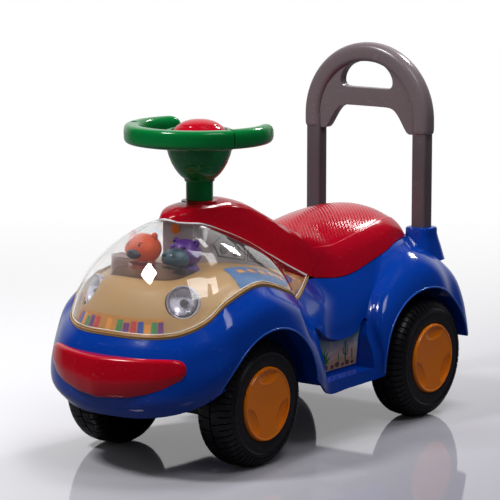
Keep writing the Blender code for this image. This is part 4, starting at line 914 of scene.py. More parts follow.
def table(rows, y):
    ys = [row[0] for row in rows]
    return [float(np.interp(y, ys, [row[k] for row in rows])) for k in range(1, len(rows[0]))]


def opening_edge(y):
    rear = EDGE[6 * COCKPIT_RIBS:]
    return float(np.interp(y, rear[:, 1], rear[:, 0])), float(np.interp(y, rear[:, 1], rear[:, 2]))


def section_row(shape, half, low, high, y, steps=5, crisp=0.0):
    """One cross-section over the crown, from the left lower edge to the right; crisp keeps its corners."""
    flat = [(half * w, low + (high - low) * h, 0) for w, h in shape]
    line = flat + [(-half * w, low + (high - low) * h, 0) for w, h in reversed(shape[:-1])]
    soft = spline(line, steps)
    row = []
    for k, p in enumerate(soft):
        a, t = divmod(k, steps)
        b = min(a + 1, len(line) - 1)
        hard = np.array(line[a]) * (1 - t / steps) + np.array(line[b]) * (t / steps)
        q = p * (1 - crisp) + hard * crisp
        row.append((float(q[0]), y, float(q[1])))
    return row


RIDGE = 0.0011
RIDGE_START = -0.085
RIDGE_END = 0.026
HINGE_Y = 0.0523
HINGE_Z = 0.2500
HINGE_R = 0.0040


def make_cowl():
    """The cowl with a soft ridge on each flank, a lip before the seat, a collar and the lugs of the hinge."""
    rows = []
    for y, half, low, high in spline(COWL[:-1], 6):
        lip = ramp(y, 0.0285, 0.0022)
        row = section_row(SECTION, max(half, 0.004), low, high, y, 6, 0.6)
        middle = np.array([0.0, y, low])
        out = []
        for k, p in enumerate(row):
            away = np.array(p) - middle
            away[2] *= 0.8
            away /= max(np.linalg.norm(away), 1e-6)
            share = min(k, len(row) - 1 - k) / ((len(row) - 1) / 2)
            swell = lip * (0.0007 + 0.0019 * ramp(share, 0.30, 0.25)) * min(1.0, share * 6)
            line = 0.46 + 0.10 * math.sin(ramp(y, RIDGE_START, 0.11) * math.pi)
            ridge = max(0.0, 1 - abs(share - line) / 0.030) if RIDGE_START < y < RIDGE_END else 0.0
            swell += RIDGE * ridge * min(1.0, (y - RIDGE_START) / 0.02, (RIDGE_END - y) / 0.02)
            out.append(tuple(np.array(p) + away * swell))
        rows.append(out)
    rows.append([(p[0], 0.0467, p[2]) for p in rows[-1]])
    cowl = net("cowl_skin", rows, wrap=True, cap=True)
    outline = mm((22.5, 302), (22.4, 306), (21.6, 307.4), (19, 307.9), (10, 307.9), (9, 302))
    collar = turned("stem_collar", outline, 64, ring=True)
    collar.data.transform(moved(0, COLUMN_Y, 0))
    cowl = merge("cowl_skin", [cowl, collar])
    for _, side in SIDES:
        x0, x1 = sorted((side * 0.0183, side * 0.0243))
        lug = rod("hinge_lug", HINGE_R, (x0, HINGE_Y, HINGE_Z), (x1, HINGE_Y, HINGE_Z), 32)
        arm = block("hinge_arm", (x0, 0.0440, 0.2460), (x1, HINGE_Y, 0.2540))
        cowl = merge("cowl_skin", [cowl, lug, arm])
    finish_piece(cowl, "cowl_skin", "red", replaces=("steering_cowl",), angle=34)


RIB_PITCH = 0.0046
RIB_DEPTH = 0.00062
RIB_SLANT = 0.95
CREASE = 0.372
SWELL = 0.0011
SEAT_STEPS = 184


def seat_shares():
    """How the points of a seat section are spread from its lower edge to the crown: closest at the crease."""
    shares = [CREASE * 0.94 * k / 12 for k in range(12)]
    shares += [CREASE - 0.0224 + 0.0056 * k for k in range(8)]
    rest = CREASE + 0.0224
    return shares + [rest + (1 - rest) * k / 62 for k in range(63)]


def make_seat():
    """The lift-up lid: smooth sides up to a crease, and slanting ribs over its top."""
    front = SEAM_Y + 0.0003
    crown = spline([(y, z, 0) for y, z in SEAT_CROWN], 6)
    ys, zs = [p[0] for p in crown], [p[1] for p in crown]
    shares = seat_shares()
    shares = shares + [2 - t for t in reversed(shares[:-1])]
    rows = []
    for k in range(SEAT_STEPS + 1):
        y = front + (SEAT_END - front) * k / SEAT_STEPS
        half, low = opening_edge(y)
        if y > SEAT_ROUND_Y:
            half *= (1 - ((y - SEAT_ROUND_Y) / (SEAT_END - SEAT_ROUND_Y + 0.003)) ** 2.6) ** (1 / 2.6)
        slope = smooth_step(ramp(y, SEAM_Y, 0.045))
        shape = [(w + (v - w) * slope, h + (g - h) * slope) for (w, h), (v, g) in zip(SECTION, SEAT_SECTION)]
        line = np.array(section_row(shape, max(half, 0.002), low + 0.0011, float(np.interp(y, ys, zs)), y, 12))
        run = np.concatenate([[0], np.cumsum(np.linalg.norm(np.diff(line, axis=0), axis=1))])
        run = run / run[-1] * 2
        fine = np.stack([np.interp(shares, run, line[:, c]) for c in range(3)], axis=1)
        along = np.gradient(fine[:, [0, 2]], axis=0)
        out_x, out_z = -along[:, 1], along[:, 0]
        size = np.hypot(out_x, out_z)
        ends = ramp(y - front, 0.0030, 0.004) * ramp(0.2440 - y, 0.0, 0.006)
        row = []
        for j, p in enumerate(fine):
            share = min(shares[j], 2 - shares[j])
            top = ramp(share - CREASE, 0.045, 0.05) * ends
            slant = (RIB_SLANT * p[0] + p[1]) / 1.379
            groove = (0.5 - 0.5 * math.cos(2 * math.pi * slant / RIB_PITCH)) ** 1.6
            side = smooth_step(ramp(share, CREASE * 0.35, CREASE * 0.62))
            side *= 1 - ramp(share - CREASE, -0.004, 0.016)
            push = SWELL * side * min(1.0, slope * 3) * ramp(SEAT_END - y, 0.0, 0.02) - RIB_DEPTH * top * groove
            row.append((p[0] - out_x[j] / size[j] * push, y, p[2] - out_z[j] / size[j] * push))
        rows.append(row)
    seat = net("seat_skin", rows)
    shell(seat, 0.0024)
    barrel = rod("hinge_barrel", HINGE_R, (-0.018, HINGE_Y, HINGE_Z), (0.018, HINGE_Y, HINGE_Z), 32)
    seat = merge("seat_skin", [seat, barrel])
    finish_piece(seat, "seat_skin", "seat", "seat_lid", replaces=("seat",), angle=50)


def cockpit_edge(steps):
    return from_middle([rib[-1] for rib in BODY_RIBS[:COCKPIT_RIBS + 1]], steps)


BULGE = 2 / 1.42


def dome_grid(steps=8, rings=26):
    """The left half of the dome, from its foot on the deck up to the edge of the cowl."""
    edge = cockpit_edge(steps)
    inner = from_middle(DECK_INNER, steps)
    top_y = [-.1700, -.1685, -.1640, -.1540, -.1380, -.1150, -.0750, -.0300, .0100, .0390]
    tops = []
    for y in top_y:
        half, low, _ = table(COWL, max(y, COWL[0][0]))
        tops.append((half - 0.0005, y, low - 0.0003))
    tops[0] = (0.0, -0.1710, 0.2925)
    tops[1] = (0.0105, -0.1672, 0.2905)
    tops = from_middle(tops, steps)
    grid = []
    for rim, mid, top in zip(edge, inner, tops):
        line = (mid - rim)[:2]
        inward = line / np.linalg.norm(line) * 0.0035
        base = rim + np.array([inward[0], inward[1], 0.0059])
        column = []
        for k in range(rings + 1):
            phi = math.radians(90) * (k / rings) ** 1.25
            p = base + (top - base) * (1 - max(math.cos(phi), 0.0) ** BULGE)
            p[2] = base[2] + (top[2] - base[2]) * math.sin(phi) ** BULGE
            column.append(p)
        grid.append(column)
    grid = np.array(grid)
    grid[0][:, 0] = 0.0
    return grid


def make_dome():
    grid = dome_grid()
    dome = mirrored_net("dome_shell", grid)
    shell(dome, 0.0016)
    finish_piece(dome, "dome_shell", "clear", replaces=("dome",), angle=60)
    out = offset(grid, 0.0005)
    rows = []
    for i, column in enumerate(out):
        run = np.concatenate([[0], np.cumsum(np.linalg.norm(np.diff(column, axis=0), axis=1))])
        back = i / (len(out) - 1)
        width = 0.0042 + 0.0070 * ramp(back, 0.45, 0.4) ** 1.5
        width *= 1 - 0.75 * max(0.0, (back - 0.93) / 0.07)
        at = [run[-1] - width * (1 - t / 5) for t in range(6)]
        rows.append(np.stack([np.interp(at, run, column[:, c]) for c in range(3)], axis=1))
    rows[0][:, 0] = 0.0
    # The flange strip along the dome's upper edge is painted near-white: a painted reflection of the backdrop.
    flange = mirrored_net("dome_flange", np.array(rows[:-1]))
    shell(flange, 0.0012)
    finish_piece(flange, "dome_flange", "milky_and_painted_reflection", angle=60)
    # The bead along the dome's foot is painted bright: a painted highlight on its clear edge.
    line = both_sides([(x, y, z + 0.0004) for x, y, z in grid[:, 0]])
    foot = bead("dome_foot", line, 0.0007)
    finish_piece(foot, "dome_foot", "painted_highlight_edge")


def deck_grid(steps=8, rise=0.0):
    edge = cockpit_edge(steps)
    inner = from_middle(DECK_INNER, steps)
    shares = [k / 30 for k in range(31)]
    rises = spline([(s, r, 0) for s, r in DECK_RISE], 8)
    grid = []
    for rim, mid in zip(edge, inner):
        line = mid - rim
        length = np.linalg.norm(line[:2])
        column = []
        for share in shares:
            up = float(np.interp(share, [p[0] for p in rises], [p[1] for p in rises]))
            p = rim + line * ((0.0015 + share * (length - 0.0015)) / length)
            p[2] = rim[2] + 0.0028 + (mid[2] - rim[2] - 0.0028) * max(up, 0.0) + rise
            column.append(p)
        grid.append(column)
    grid = np.array(grid)
    grid[0][:, 0] = 0.0
    return grid


def deck_rows(grid):
    """The left half of the deck carried across its flat middle to the right half."""
    rows = []
    for column in grid:
        left = [tuple(p) for p in column]
        x, y, z = left[-1]
        middle = [(x * (1 - 2 * t / 8), y, z) for t in range(1, 8)]
        rows.append(left + middle + [(-p[0], p[1], p[2]) for p in reversed(left)])
    return rows


def on_deck(grid, i, j, lift):
    """A place on the deck between its grid lines, lifted off the surface."""
    a, b = min(int(i), len(grid) - 2), min(int(j), len(grid[0]) - 2)
    u, v = i - a, j - b
    low = grid[a][b] * (1 - u) + grid[a + 1][b] * u
    high = grid[a][b + 1] * (1 - u) + grid[a + 1][b + 1] * u
    p = low * (1 - v) + high * v
    normal = np.cross(grid[a + 1][b] - grid[a][b], grid[a][b + 1] - grid[a][b])
    normal /= np.linalg.norm(normal)
    return p + normal * (lift if normal[2] > 0 else -lift)


def deck_patch(name, grid, side, corners, lift=0.0004, steps=10, across=4):
    """A thin printed patch between four places given in grid lines along and across the deck."""
    rows = []
    for k in range(steps + 1):
        u = k / steps
        row = []
        for m in range(across + 1):
            v = m / across
            place = [(corners[0][c] * (1 - u) + corners[1][c] * u) * (1 - v)
                     + (corners[3][c] * (1 - u) + corners[2][c] * u) * v for c in (0, 1)]
            x, y, z = on_deck(grid, place[0], place[1], lift)
            row.append((side * x, y, z))
        rows.append(row)
    patch = net(name, rows)
    middle = patch.data.polygons[len(patch.data.polygons) // 2]
    if middle.normal.z < 0:
        patch.data.flip_normals()
    return shell(patch, 0.0002)


def make_deck_prints():
    """Coloured blocks in a row across the nose, and a plain pennant on each side."""
    grid = deck_grid()
    inks = ("ink_red", "ink_blue", "ink_orange", "ink_green", "ink_violet")
    pieces = {ink: [] for ink in inks}
    places = [(k, -1) for k in np.arange(14.2, 0.6, -1.75)] + [(k, 1) for k in np.arange(0.9, 11.5, 1.75)]
    for n, (k, side) in enumerate(places):
        if n == 6:
            continue
        tall = 0.5 if n % 3 else 0.0
        corners = [(k - 0.78, 3.9), (k + 0.74, 3.9 - tall * 0.4), (k + 0.66, 6.4 + tall), (k - 0.70, 6.3 + tall)]
        pieces[inks[n % 5]].append(deck_patch("print", grid, side, corners, 0.0009, 3))
    bands = [deck_patch("band", grid, 1, [(0.0, 3.1), (12.2, 3.1), (12.2, 7.6), (0.0, 7.6)], 0.0005, 24, 8),
             deck_patch("band", grid, -1, [(0.0, 3.1), (15.4, 3.1), (15.4, 7.6), (0.0, 7.6)], 0.0005, 30, 8)]
    finish_piece(merge("nose_band", bands), "nose_band", "band_ink")
    for ink, made in pieces.items():
        finish_piece(merge(ink, made), "nose_blocks_" + ink[4:], ink)
    for side_name, side in SIDES:
        flag = deck_patch(
            "flag", grid, side, [(36.4, 3.4), (37.2, 20.5), (59.2, 16.0), (60.2, 11.0)], 0.0006, 40, 24)
        finish_piece(flag, "pennant_" + side_name, "ink_flag")
        dots = [deck_patch("dot", grid, side, [(39 + 2.9 * k, 12.6), (40.9 + 2.9 * k, 12.6), (40.7 + 2.9 * k, 15.8),
                                               (39.2 + 2.9 * k, 15.8)], 0.0010, 3) for k in range(6)]
        finish_piece(merge("dots", dots), "pennant_dots_" + side_name, "ink_orange")


def lamp_frame(side):
    forward = Vector((side * 0.5, -math.cos(math.radians(30)), math.tan(math.radians(18)))).normalized()
    centre = Vector((side * 0.0655, -0.2195, 0.2045))
    return centre, forward, Matrix.Translation(centre) @ forward.to_track_quat("Z", "Y").to_matrix().to_4x4()


def make_deck():
    deck = net("deck_skin", deck_rows(deck_grid()))
    shell(deck, 0.0024)
    holes = [rod("column_room", 0.012, (0, COLUMN_Y, 0.15), (0, COLUMN_Y, 0.26))]
    for _, side in SIDES:
        centre, forward, _ = lamp_frame(side)
        holes.append(rod("lamp_room", 0.0205, centre - forward * 0.02, centre + forward * 0.03, 64))
    carve(deck, *holes)
    finish_piece(deck, "deck_skin", "cream", replaces=("cockpit_deck",), angle=40)
    rim = [tuple(p) for p in deck_grid(8, 0.0006)[:, 0]]
    welt = bead("deck_welt", both_sides(rim), 0.0008)
    finish_piece(welt, "deck_welt", "cream")


# Headlights

LAMP_PARTS = (
    ("reflector_", "headlight_reflector_", "chrome", "chrome", 40, 96, False, mm(
        (1.2, -3.6), (4.5, -3.4), (10.5, -1.6), (15, 1.4), (16.8, 3.2), (17.3, 4.2), (18.4, 4.7), (19.6, 4.4),
        (20.2, 3.4), (20.2, -7.9), (1.2, -7.9))),
    ("lens_", "headlight_lens_", "lens", "clear_plastic", 50, 96, False, mm(
        (0.6, 7.9), (6, 7.7), (11.5, 7.1), (16.5, 6), (19, 5.2), (19.5, 4.8), (19, 4.4), (16.5, 4.7), (11.5, 5.8),
        (6, 6.4), (0.6, 6.6))),
    ("lamp_ring_", None, "lamp_edge", "clear_plastic", 50, 96, True, mm(
        (17.8, 5), (18.3, 6.2), (19.2, 6.6), (20, 6), (20.3, 4.6), (19.2, 4.4))),
    ("lamp_bulb_", "headlight_bulb_", "black", "black_plastic", 50, 48, False, mm(
        (0.4, 4.4), (1.4, 4.2), (2.4, 3.4), (3, 2), (3.1, -0.4), (3.6, -0.8), (4.4, -1.2), (4.6, -2.4), (4, -3.2),
        (0.4, -3.2))))


def make_lamps():
    """Reflector, lens, ring and bulb of each lamp, turned from outlines of radius and height."""
    for side_name, side in SIDES:
        place = lamp_frame(side)[2]
        for name, node_name, finish, slot, angle, sides, ring, outline in LAMP_PARTS:
            part = turned(name, outline, sides, ring=ring)
            part.data.transform(place)
            finish_piece(part, name + side_name, finish, replaces=(node_name + side_name,) if node_name else (),
                         angle=angle)


# Cockpit

SCREEN_LOW = 0.2225


def make_windscreen():
    """The low smoked screen that wraps round in front of the figures and dies away at its near end."""
    outline = mm(
        (-50, -182), (-53, -190), (-54.5, -200), (-52, -210), (-44, -217.5), (-28, -221.5), (0, -224.5),
        (23, -222), (36, -217.5), (44, -209.5), (47.5, -198), (48, -186), (47.5, -177))
    path = spline([(x, y, 0) for x, y in outline], 6)
    profile = [(0, 1), (0.5, 1), (0.86, 1), (0.95, 1.6), (1.0, 1.1)]
    rows = []
    count = len(path)
    for k, p in enumerate(path):
        t = np.array(path[min(k + 1, count - 1)]) - np.array(path[max(k - 1, 0)])
        t /= np.linalg.norm(t)
        n = np.array([t[1], -t[0], 0]) * 0.0009
        fall = smooth_step(ramp(k / count, 0.52, 0.48))
        start = max(0.0, 1 - k / 8.0)
        high = 0.2490 - 0.0135 * fall - 0.0060 * start * start
        row = []
        for share, side in profile + [(share, -side) for share, side in reversed(profile)]:
            z = SCREEN_LOW + (high - SCREEN_LOW) * share
            q = p + n * side + np.array([0, 0.004 * share, 0])
            row.append((q[0], q[1], z))
        rows.append(row)
    screen = net("smoked_screen", rows, wrap=True, cap=True)
    finish_piece(screen, "smoked_screen", "smoke", replaces=("windscreen",), angle=40)


def make_figures():
    """Two plain animal heads that look out over the screen."""
    y, floor = -0.173, 0.2290
    z = floor + 0.0247
    for side, kind, fur, snout in ((-1, "bear", "bear", "muzzle_dark"), (1, "hippo", "hippo", "muzzle_teal")):
        x = side * 0.032
        radii = (0.0232, 0.0208, 0.0186) if kind == "bear" else (0.0205, 0.0185, 0.0172)
        head = bulb("head", (x, y, z), radii, 44, 30)
        bust = turned("bust", mm((0.4, 19.5), (11, 18.5), (13, 12), (16.5, 7), (18.4, 2), (18.6, 0), (0.4, 0)), 40)
        bust.data.transform(moved(x, y + 0.002, floor - 0.0030))
        parts = [head, bust]
        spread, rise = (0.0158, 0.0158) if kind == "bear" else (0.0150, 0.0128)
        for ear in (1, -1):
            place = Vector((x + ear * spread, y + 0.002, z + rise))
            parts.append(bulb("ear", place, (0.0046, 0.0034, 0.0046), 20, 14))
            carve(parts[-1], bulb("cup", place + Vector((0, -0.0036, 0)), (0.0027, 0.0022, 0.0027), 16, 10))
        for side_x in (1, -1):
            parts.append(bulb(
                "brow", (x + side_x * 0.0075, y - 0.0140, z + 0.0098), (0.0040, 0.0035, 0.0018), 18, 12))
        head = merge(kind + "_face", parts)
        finish_piece(head, kind + "_face", fur, replaces=(kind + "_head",), angle=50)
        if kind == "bear":
            bits = [bulb("muzzle", (x, y - 0.0178, z - 0.0045), (0.0104, 0.0070, 0.0066), 32, 22),
                    bulb("nose", (x, y - 0.0248, z - 0.0012), (0.0034, 0.0022, 0.0024), 18, 12)]
        else:
            bits = [bulb("snout", (x, y - 0.0190, z - 0.0040), (0.0180, 0.0140, 0.0122), 40, 26)]
            for side_x in (1, -1):
                bits.append(bulb(
                    "nostril", (x + side_x * 0.0070, y - 0.0312, z + 0.0016), (0.0034, 0.0024, 0.0026), 16, 10))
        snout_piece = merge(kind + "_snout", bits)
        finish_piece(snout_piece, kind + "_snout", snout, replaces=(kind + "_muzzle",), angle=50)
        eyes = [bulb("eye", (x + side_x * 0.0080, y - 0.0178, z + 0.0066), (0.0017, 0.0013, 0.0019), 16, 10)
                for side_x in (1, -1)]
        finish_piece(merge(kind + "_eyes", eyes), kind + "_eyes", "black", angle=50)


def console_ring(y, grow=0.0):
    share = (y + 0.147) / 0.157
    half = 0.0235 + 0.022 * share - grow
    low = float(np.interp(y, [p[1] for p in DECK_INNER[3:]], [p[2] for p in DECK_INNER[3:]])) - 0.001
    top = table(COWL, y)[1] - 0.0008
    return half, low, top


def make_console():
    ys = [-0.147, -0.136, -0.125, -0.11, -0.09, -0.07, -0.05, -0.035, -0.02, -0.005, 0.010]
    rows = []
    for y in ys:
        half, low, top = console_ring(y)
        rows.append([(half, y, low), (half, y, top), (-half, y, top), (-half, y, low)])
    body = net("console_box", rows, wrap=True, cap=True)
    round_edges(body, 0.0022, 4, 60)
    parts = []
    for side_name, side in SIDES:
        def on_wall(y, share, proud):
            half, low, top = console_ring(y)
            return Vector((side * (half + proud), y, low + (top - low) * share))

        def raised(name, outline, proud=0.0009, width=0.0009):
            pts = [tuple(on_wall(y, s, proud * 0.35)) for y, s in outline]
            return bead(name, pts, width, closed=True, resolution=3)

        parts.append(raised("dial_panel", [(-.1135, .56), (-.100, .86), (-.066, .88), (-.0600, .78), (-.0600, .24),
                                           (-.104, .22)], 0.0012, 0.0013))
        parts.append(raised(
            "bar_panel", [(-.0545, .80), (-.0180, .56), (-.0125, .34), (-.0545, .26)], 0.0012, 0.0012))
        for y, share, radius in ((-.0955, .50, .0072), (-.0745, .52, .0072)):
            centre = on_wall(y, share, 0.0)
            dial = turned("dial", [(0.0004, 0.0012), (0.0034, 0.0012), (0.0040, 0.0018), (radius, 0.0018),
                                   (radius + 0.0005, 0.0002), (radius, -0.0010), (0.0004, -0.0010)], 40)
            dial.data.transform(moved(*centre) @ turned_by(90 * side, "Y"))
            parts.append(dial)
        for k in range(5):
            y = -.049 + k * .0066
            a, b = on_wall(y, .40, 0.0004), on_wall(y + 0.0012, .66 - .045 * k, 0.0004)
            parts.append(rod("bar", 0.0012, a, b, 12))
        panel = merge("console_" + side_name, parts)
        finish_piece(panel, "console_trim_" + side_name, "console_dark")
        parts = []
        lever = bulb("lever", on_wall(-.128, .74, 0.0012), (0.0026, 0.0034, 0.0086), 24, 16)
        finish_piece(lever, "console_lever_" + side_name, "milky_and_painted_reflection")
    finish_piece(body, "console_box", "console", replaces=("console",), angle=40)
    badge = turned("badge", mm((0.4, 1.2), (6.2, 1.2), (7.4, 0.6), (7.6, -0.8), (0.4, -0.8)), 6)
    badge.data.transform(moved(-0.003, -0.1470, 0.2775) @ turned_by(90, "X"))
    finish_piece(badge, "console_badge", "badge")


# Steering wheel and horn

def spun(name, outline, start, end, steps, taper=0):
    """An outline of radius and height carried round the steering column; the last steps may round off."""
    rows = []
    for k in range(steps + 1):
        a = start + (end - start) * k / steps
        shrink = 1.0
        left = steps - k
        if taper and left < taper:
            shrink = max(math.sqrt(max(0.0, 1 - (1 - left / taper) ** 2)), 0.04)
        row = [(RIM_R + r * shrink, RIM_Z + z * shrink) for r, z in outline]
        rows.append([(r * math.sin(a), COLUMN_Y - r * math.cos(a), z) for r, z in row])
    return net(name, rows, wrap=True, cap=True)


def make_steering_wheel():
    section = [(r, z - 0.0005) for r, z in oval(0.0100, 0.0117, 44, 3.6)]
    bar = spun("rim_bar", section, math.radians(-64.6), math.radians(64.6), 72)
    round_edges(bar, 0.0008, 2, 60)
    bowl = mm(
        (34.5, 393.2), (38.5, 393.6), (40.8, 392.6), (41.4, 390), (41.5, 374.5), (41, 372.2), (39.8, 371),
        (39.2, 368), (37.5, 362), (34, 353), (30, 346), (25.5, 339.8), (21.8, 336.2), (19.6, 334.5),
        (18.6, 333.5), (18.2, 331), (17.2, 330.5), (16.5, 330), (16.4, 308.3), (4.8, 308.3), (4.8, 352.1),
        (24, 352.1), (31.2, 366), (31.2, 386.2), (34.5, 386.2))
    bowl = turned("bowl", bowl, 80, ring=True)
    bowl.data.transform(moved(0, COLUMN_Y, 0))
    plate_ring = [(0.036 - RIM_R, -0.0073), (-0.004, -0.0073), (-0.004, -0.0007), (0.036 - RIM_R, -0.0007)]
    web = spun("web", plate_ring, math.radians(-63.5), math.radians(63.5), 48)
    round_edges(web, 0.0012, 2, 60)
    ribs = []
    for angle in (-42, 0, 42):
        rib = block("rib", (-0.0015, -0.075, 0.3785), (0.0015, -0.038, 0.3830))
        rib.data.transform(moved(0, COLUMN_Y, 0) @ turned_by(angle, "Z"))
        ribs.append(rib)
    wheel = merge("steering_rim", [bar, bowl, web] + ribs)
    finish_piece(
        wheel, "steering_rim", "green", "steering", replaces=("steering_wheel",), angle=36)
    for side_name, side in SIDES:
        grip = spun(
            "grip", oval(0.0098, 0.0119, 40, 2.4), side * math.radians(65.3), side * math.radians(126), 48, 9)
        finish_piece(grip, "grip_skin_" + side_name, "green", "steering", replaces=("grip_" + side_name,), angle=50)
    button = mm(
        (0.5, 406), (6, 405.8), (12, 405), (18, 403.3), (22.5, 401.2), (24.2, 400), (25, 398.8), (25.6, 399),
        (28.5, 397), (30.8, 394.4), (32.2, 391.6), (32.9, 390.2), (32.9, 389.6), (29, 389.6), (29, 379.1),
        (26.6, 379.1), (26.6, 390.5), (22, 396), (0.5, 400))
    button = turned("button", button, 80)
    button.data.transform(moved(0, COLUMN_Y, 0))
    finish_piece(button, "horn_dome", "red", "horn", replaces=("horn_button",), angle=40)


# Push handle

def make_handle():
    middle, half_x, half_y = ARCH_OUTER - ARCH_BAND / 2, ARCH_BAND / 2, 0.0120
    centre_z = HANDLE_TOP - ARCH_OUTER
    ring = oval(half_x, half_y, 40, 2.9)
    foot = ((0.0, 0.80), (0.0012, 0.90), (0.0030, 0.96), (0.0055, 0.99), (0.0085, 1.0), (0.013, 1.0))
    path = [(middle, SLEEVE_LOW + d, 0.0, size) for d, size in foot]
    path += [(middle * math.cos(a), centre_z + middle * math.sin(a), a, 1.0)
             for a in [math.pi * k / 72 for k in range(1, 72)]]
    path += [(-middle, SLEEVE_LOW + d, math.pi, size) for d, size in reversed(foot)]
    rows = []
    for x, z, a, size in path:
        rows.append([
            (x + r * size * math.cos(a), HANDLE_Y + d * size, z + r * size * math.sin(a)) for r, d in ring])
    arch = net("arch", rows, wrap=True, cap=True)
    lower = plane_curve(mm(
        (-73.5, 357.5), (-69, 357), (-64.5, 358.5), (-60, 364), (-54.5, 373), (-49, 381), (-43, 387),
        (-35, 389.8), (-20, 390.3), (0, 390.3)), 5)
    lower = lower + [(-x, z) for x, z in reversed(lower[:-1])]
    reach = ARCH_OUTER - ARCH_BAND * 0.5
    upper = [(reach * math.cos(a), centre_z + reach * math.sin(a)) for a in [math.pi * k / 48 for k in range(49)]]
    web = plate("web_plate", lower + [(0.0735, 0.3600)] + upper + [(-0.0735, 0.3600)], HANDLE_Y - 0.0070,
                HANDLE_Y + 0.0070, "Y")
    half_hole = plane_curve(mm(
        (0, 414.3), (18, 414.3), (33, 414.6), (38.5, 416.6), (40.8, 421.5), (39.8, 429), (35, 437.2), (27, 444),
        (15, 448.2), (0, 449.5)), 5)
    hole = half_hole + [(-x, z) for x, z in reversed(half_hole[1:-1])]
    carve(web, plate("finger_hole", hole, HANDLE_Y - 0.03, HANDLE_Y + 0.03, "Y"))
    round_edges(web, 0.0030, 5, 50)
    carve(arch, plate("finger_hole", hole, HANDLE_Y - 0.03, HANDLE_Y + 0.03, "Y"))
    handle = merge("handle_arch", [arch, web])
    finish_piece(handle, "handle_arch", "grey", replaces=("push_handle",), angle=40)
    for side_name, side in SIDES:
        rings = []
        for z, size in ((LEG_LOW, 0.93), (LEG_LOW + 0.001, 1.0), (0.25, 1.0), (0.31, 1.0), (LEG_HIGH - 0.001, 1.0),
                        (LEG_HIGH, 0.95)):
            rings.append([(side * HANDLE_X + p[0] * size, HANDLE_Y + p[1] * size, z)
                          for p in oval(0.0112, 0.0100, 40, 5.0)])
        leg = loft("leg", rings)
        finish_piece(leg, "leg_tube_" + side_name, "grey_leg", replaces=("handle_leg_" + side_name,), angle=40)


# Wheels

LUGS = 29


def tread_block(side_z):
    """One pitch of the tread from the middle of the tyre down over one shoulder."""
    w, r = TYRE_W, WHEEL_R
    line = [(w / 2 + 0.0011, r - 0.0001), (w / 2 + 0.009, r), (w - 0.0150, r - 0.0003), (w - 0.0105, r - 0.0011),
            (w - 0.0062, r - 0.0036), (w - 0.0030, r - 0.0078), (w - 0.0016, r - 0.0118)]
    pitch = 2 * math.pi / LUGS
    skew = [0.16, 0.10, 0.03, 0.0, 0.0, 0.0, 0.0]
    grid = {}
    verts, faces = [], []
    for i, (z, radius) in enumerate(line):
        for j, u in enumerate((-0.448, -0.05, 0.05, 0.448)):
            grid[i, j] = len(verts)
            a = pitch * (u + skew[i])
            verts.append((radius * math.cos(a), radius * math.sin(a), z if side_z > 0 else w - z))
    for i in range(len(line) - 1):
        for j in range(3):
            if j == 1 and i >= 2:
                continue
            faces.append((grid[i, j], grid[i, j + 1], grid[i + 1, j + 1], grid[i + 1, j]))
    block_piece = from_faces("tread_block", verts, faces)
    open_mesh(block_piece)
    face_out(block_piece)
    middle = block_piece.data.polygons[0]
    facing = middle.normal.dot(Vector((1, 0, 0)))
    mod = block_piece.modifiers.new("depth", "SOLIDIFY")
    mod.thickness = 0.0036
    mod.offset = -1 if facing > 0 else 1
    bake_modifiers(block_piece)
    return outward(block_piece)


def tyre():
    w = TYRE_W
    outer = [(r, w + z) for r, z in mm(
        (45.3, -1.2), (46, -0.3), (47.5, 0), (56, 0), (59.2, -0.3), (60, 0.3), (60.8, 0.8), (62, 0.8), (62.8, 0.2),
        (63.6, -0.9), (65.5, -2), (68, -4.2), (70.6, -7.8), (72.6, -11.5), (74, -16), (74.5, -20))]
    inner = [(r, w - z) for r, z in reversed(outer[8:]) if r > 0.0652]
    outer.append((0.0746, w / 2))
    back = [(0.0650, 0.0010), (0.0645, 0.0016), (0.0645, w - 0.0120), (0.0140, w - 0.0120), (0.0140, 0.0010),
            (0.0056, 0.0010), (0.0056, w - 0.0070), (0.0453, w - 0.0070)]
    carcass = turned("carcass", outer + inner + back, 96, ring=True)
    parts = [carcass]
    for side_z in (1, -1):
        first = tread_block(side_z)
        for k in range(LUGS):
            turn = 2 * math.pi * (k + (0.5 if side_z < 0 else 0.0)) / LUGS
            parts.append(copy_of(first, "lug", Matrix.Rotation(turn, 4, "Z")))
        bpy.data.objects.remove(first, do_unlink=True)
    return merge("tyre", parts)


def hub_cap():
    w = TYRE_W
    outline = [(r, w + z) for r, z in mm(
        (0.4, 0.4), (10, 0.6), (20, 1.1), (30, 1.7), (38.5, 2.1), (41, 2.2), (41.6, 2.7), (42.6, 3), (43.6, 2.7),
        (44.6, 1.4), (45, -0.6), (45, -6.7), (14, -6.7), (13, -2), (0.4, -2))]
    disc = turned("cap", outline, 120)
    for k in range(3):
        thumb = bulb("scoop", (0, 0, 0), (0.0240, 0.0145, 0.0072), 72, 40)
        thumb.data.transform(moved(0, 0.0368, w + 0.0062) @ turned_by(8, "X"))
        limit = rod("limit", 0.0405, (0, 0, w - 0.02), (0, 0, w + 0.03), 120)
        carve(thumb, limit, operation="INTERSECT")
        thumb.data.transform(turned_by(120 * k, "Z"))
        carve(disc, thumb)
    return round_edges(disc, 0.0004, 2, 30)


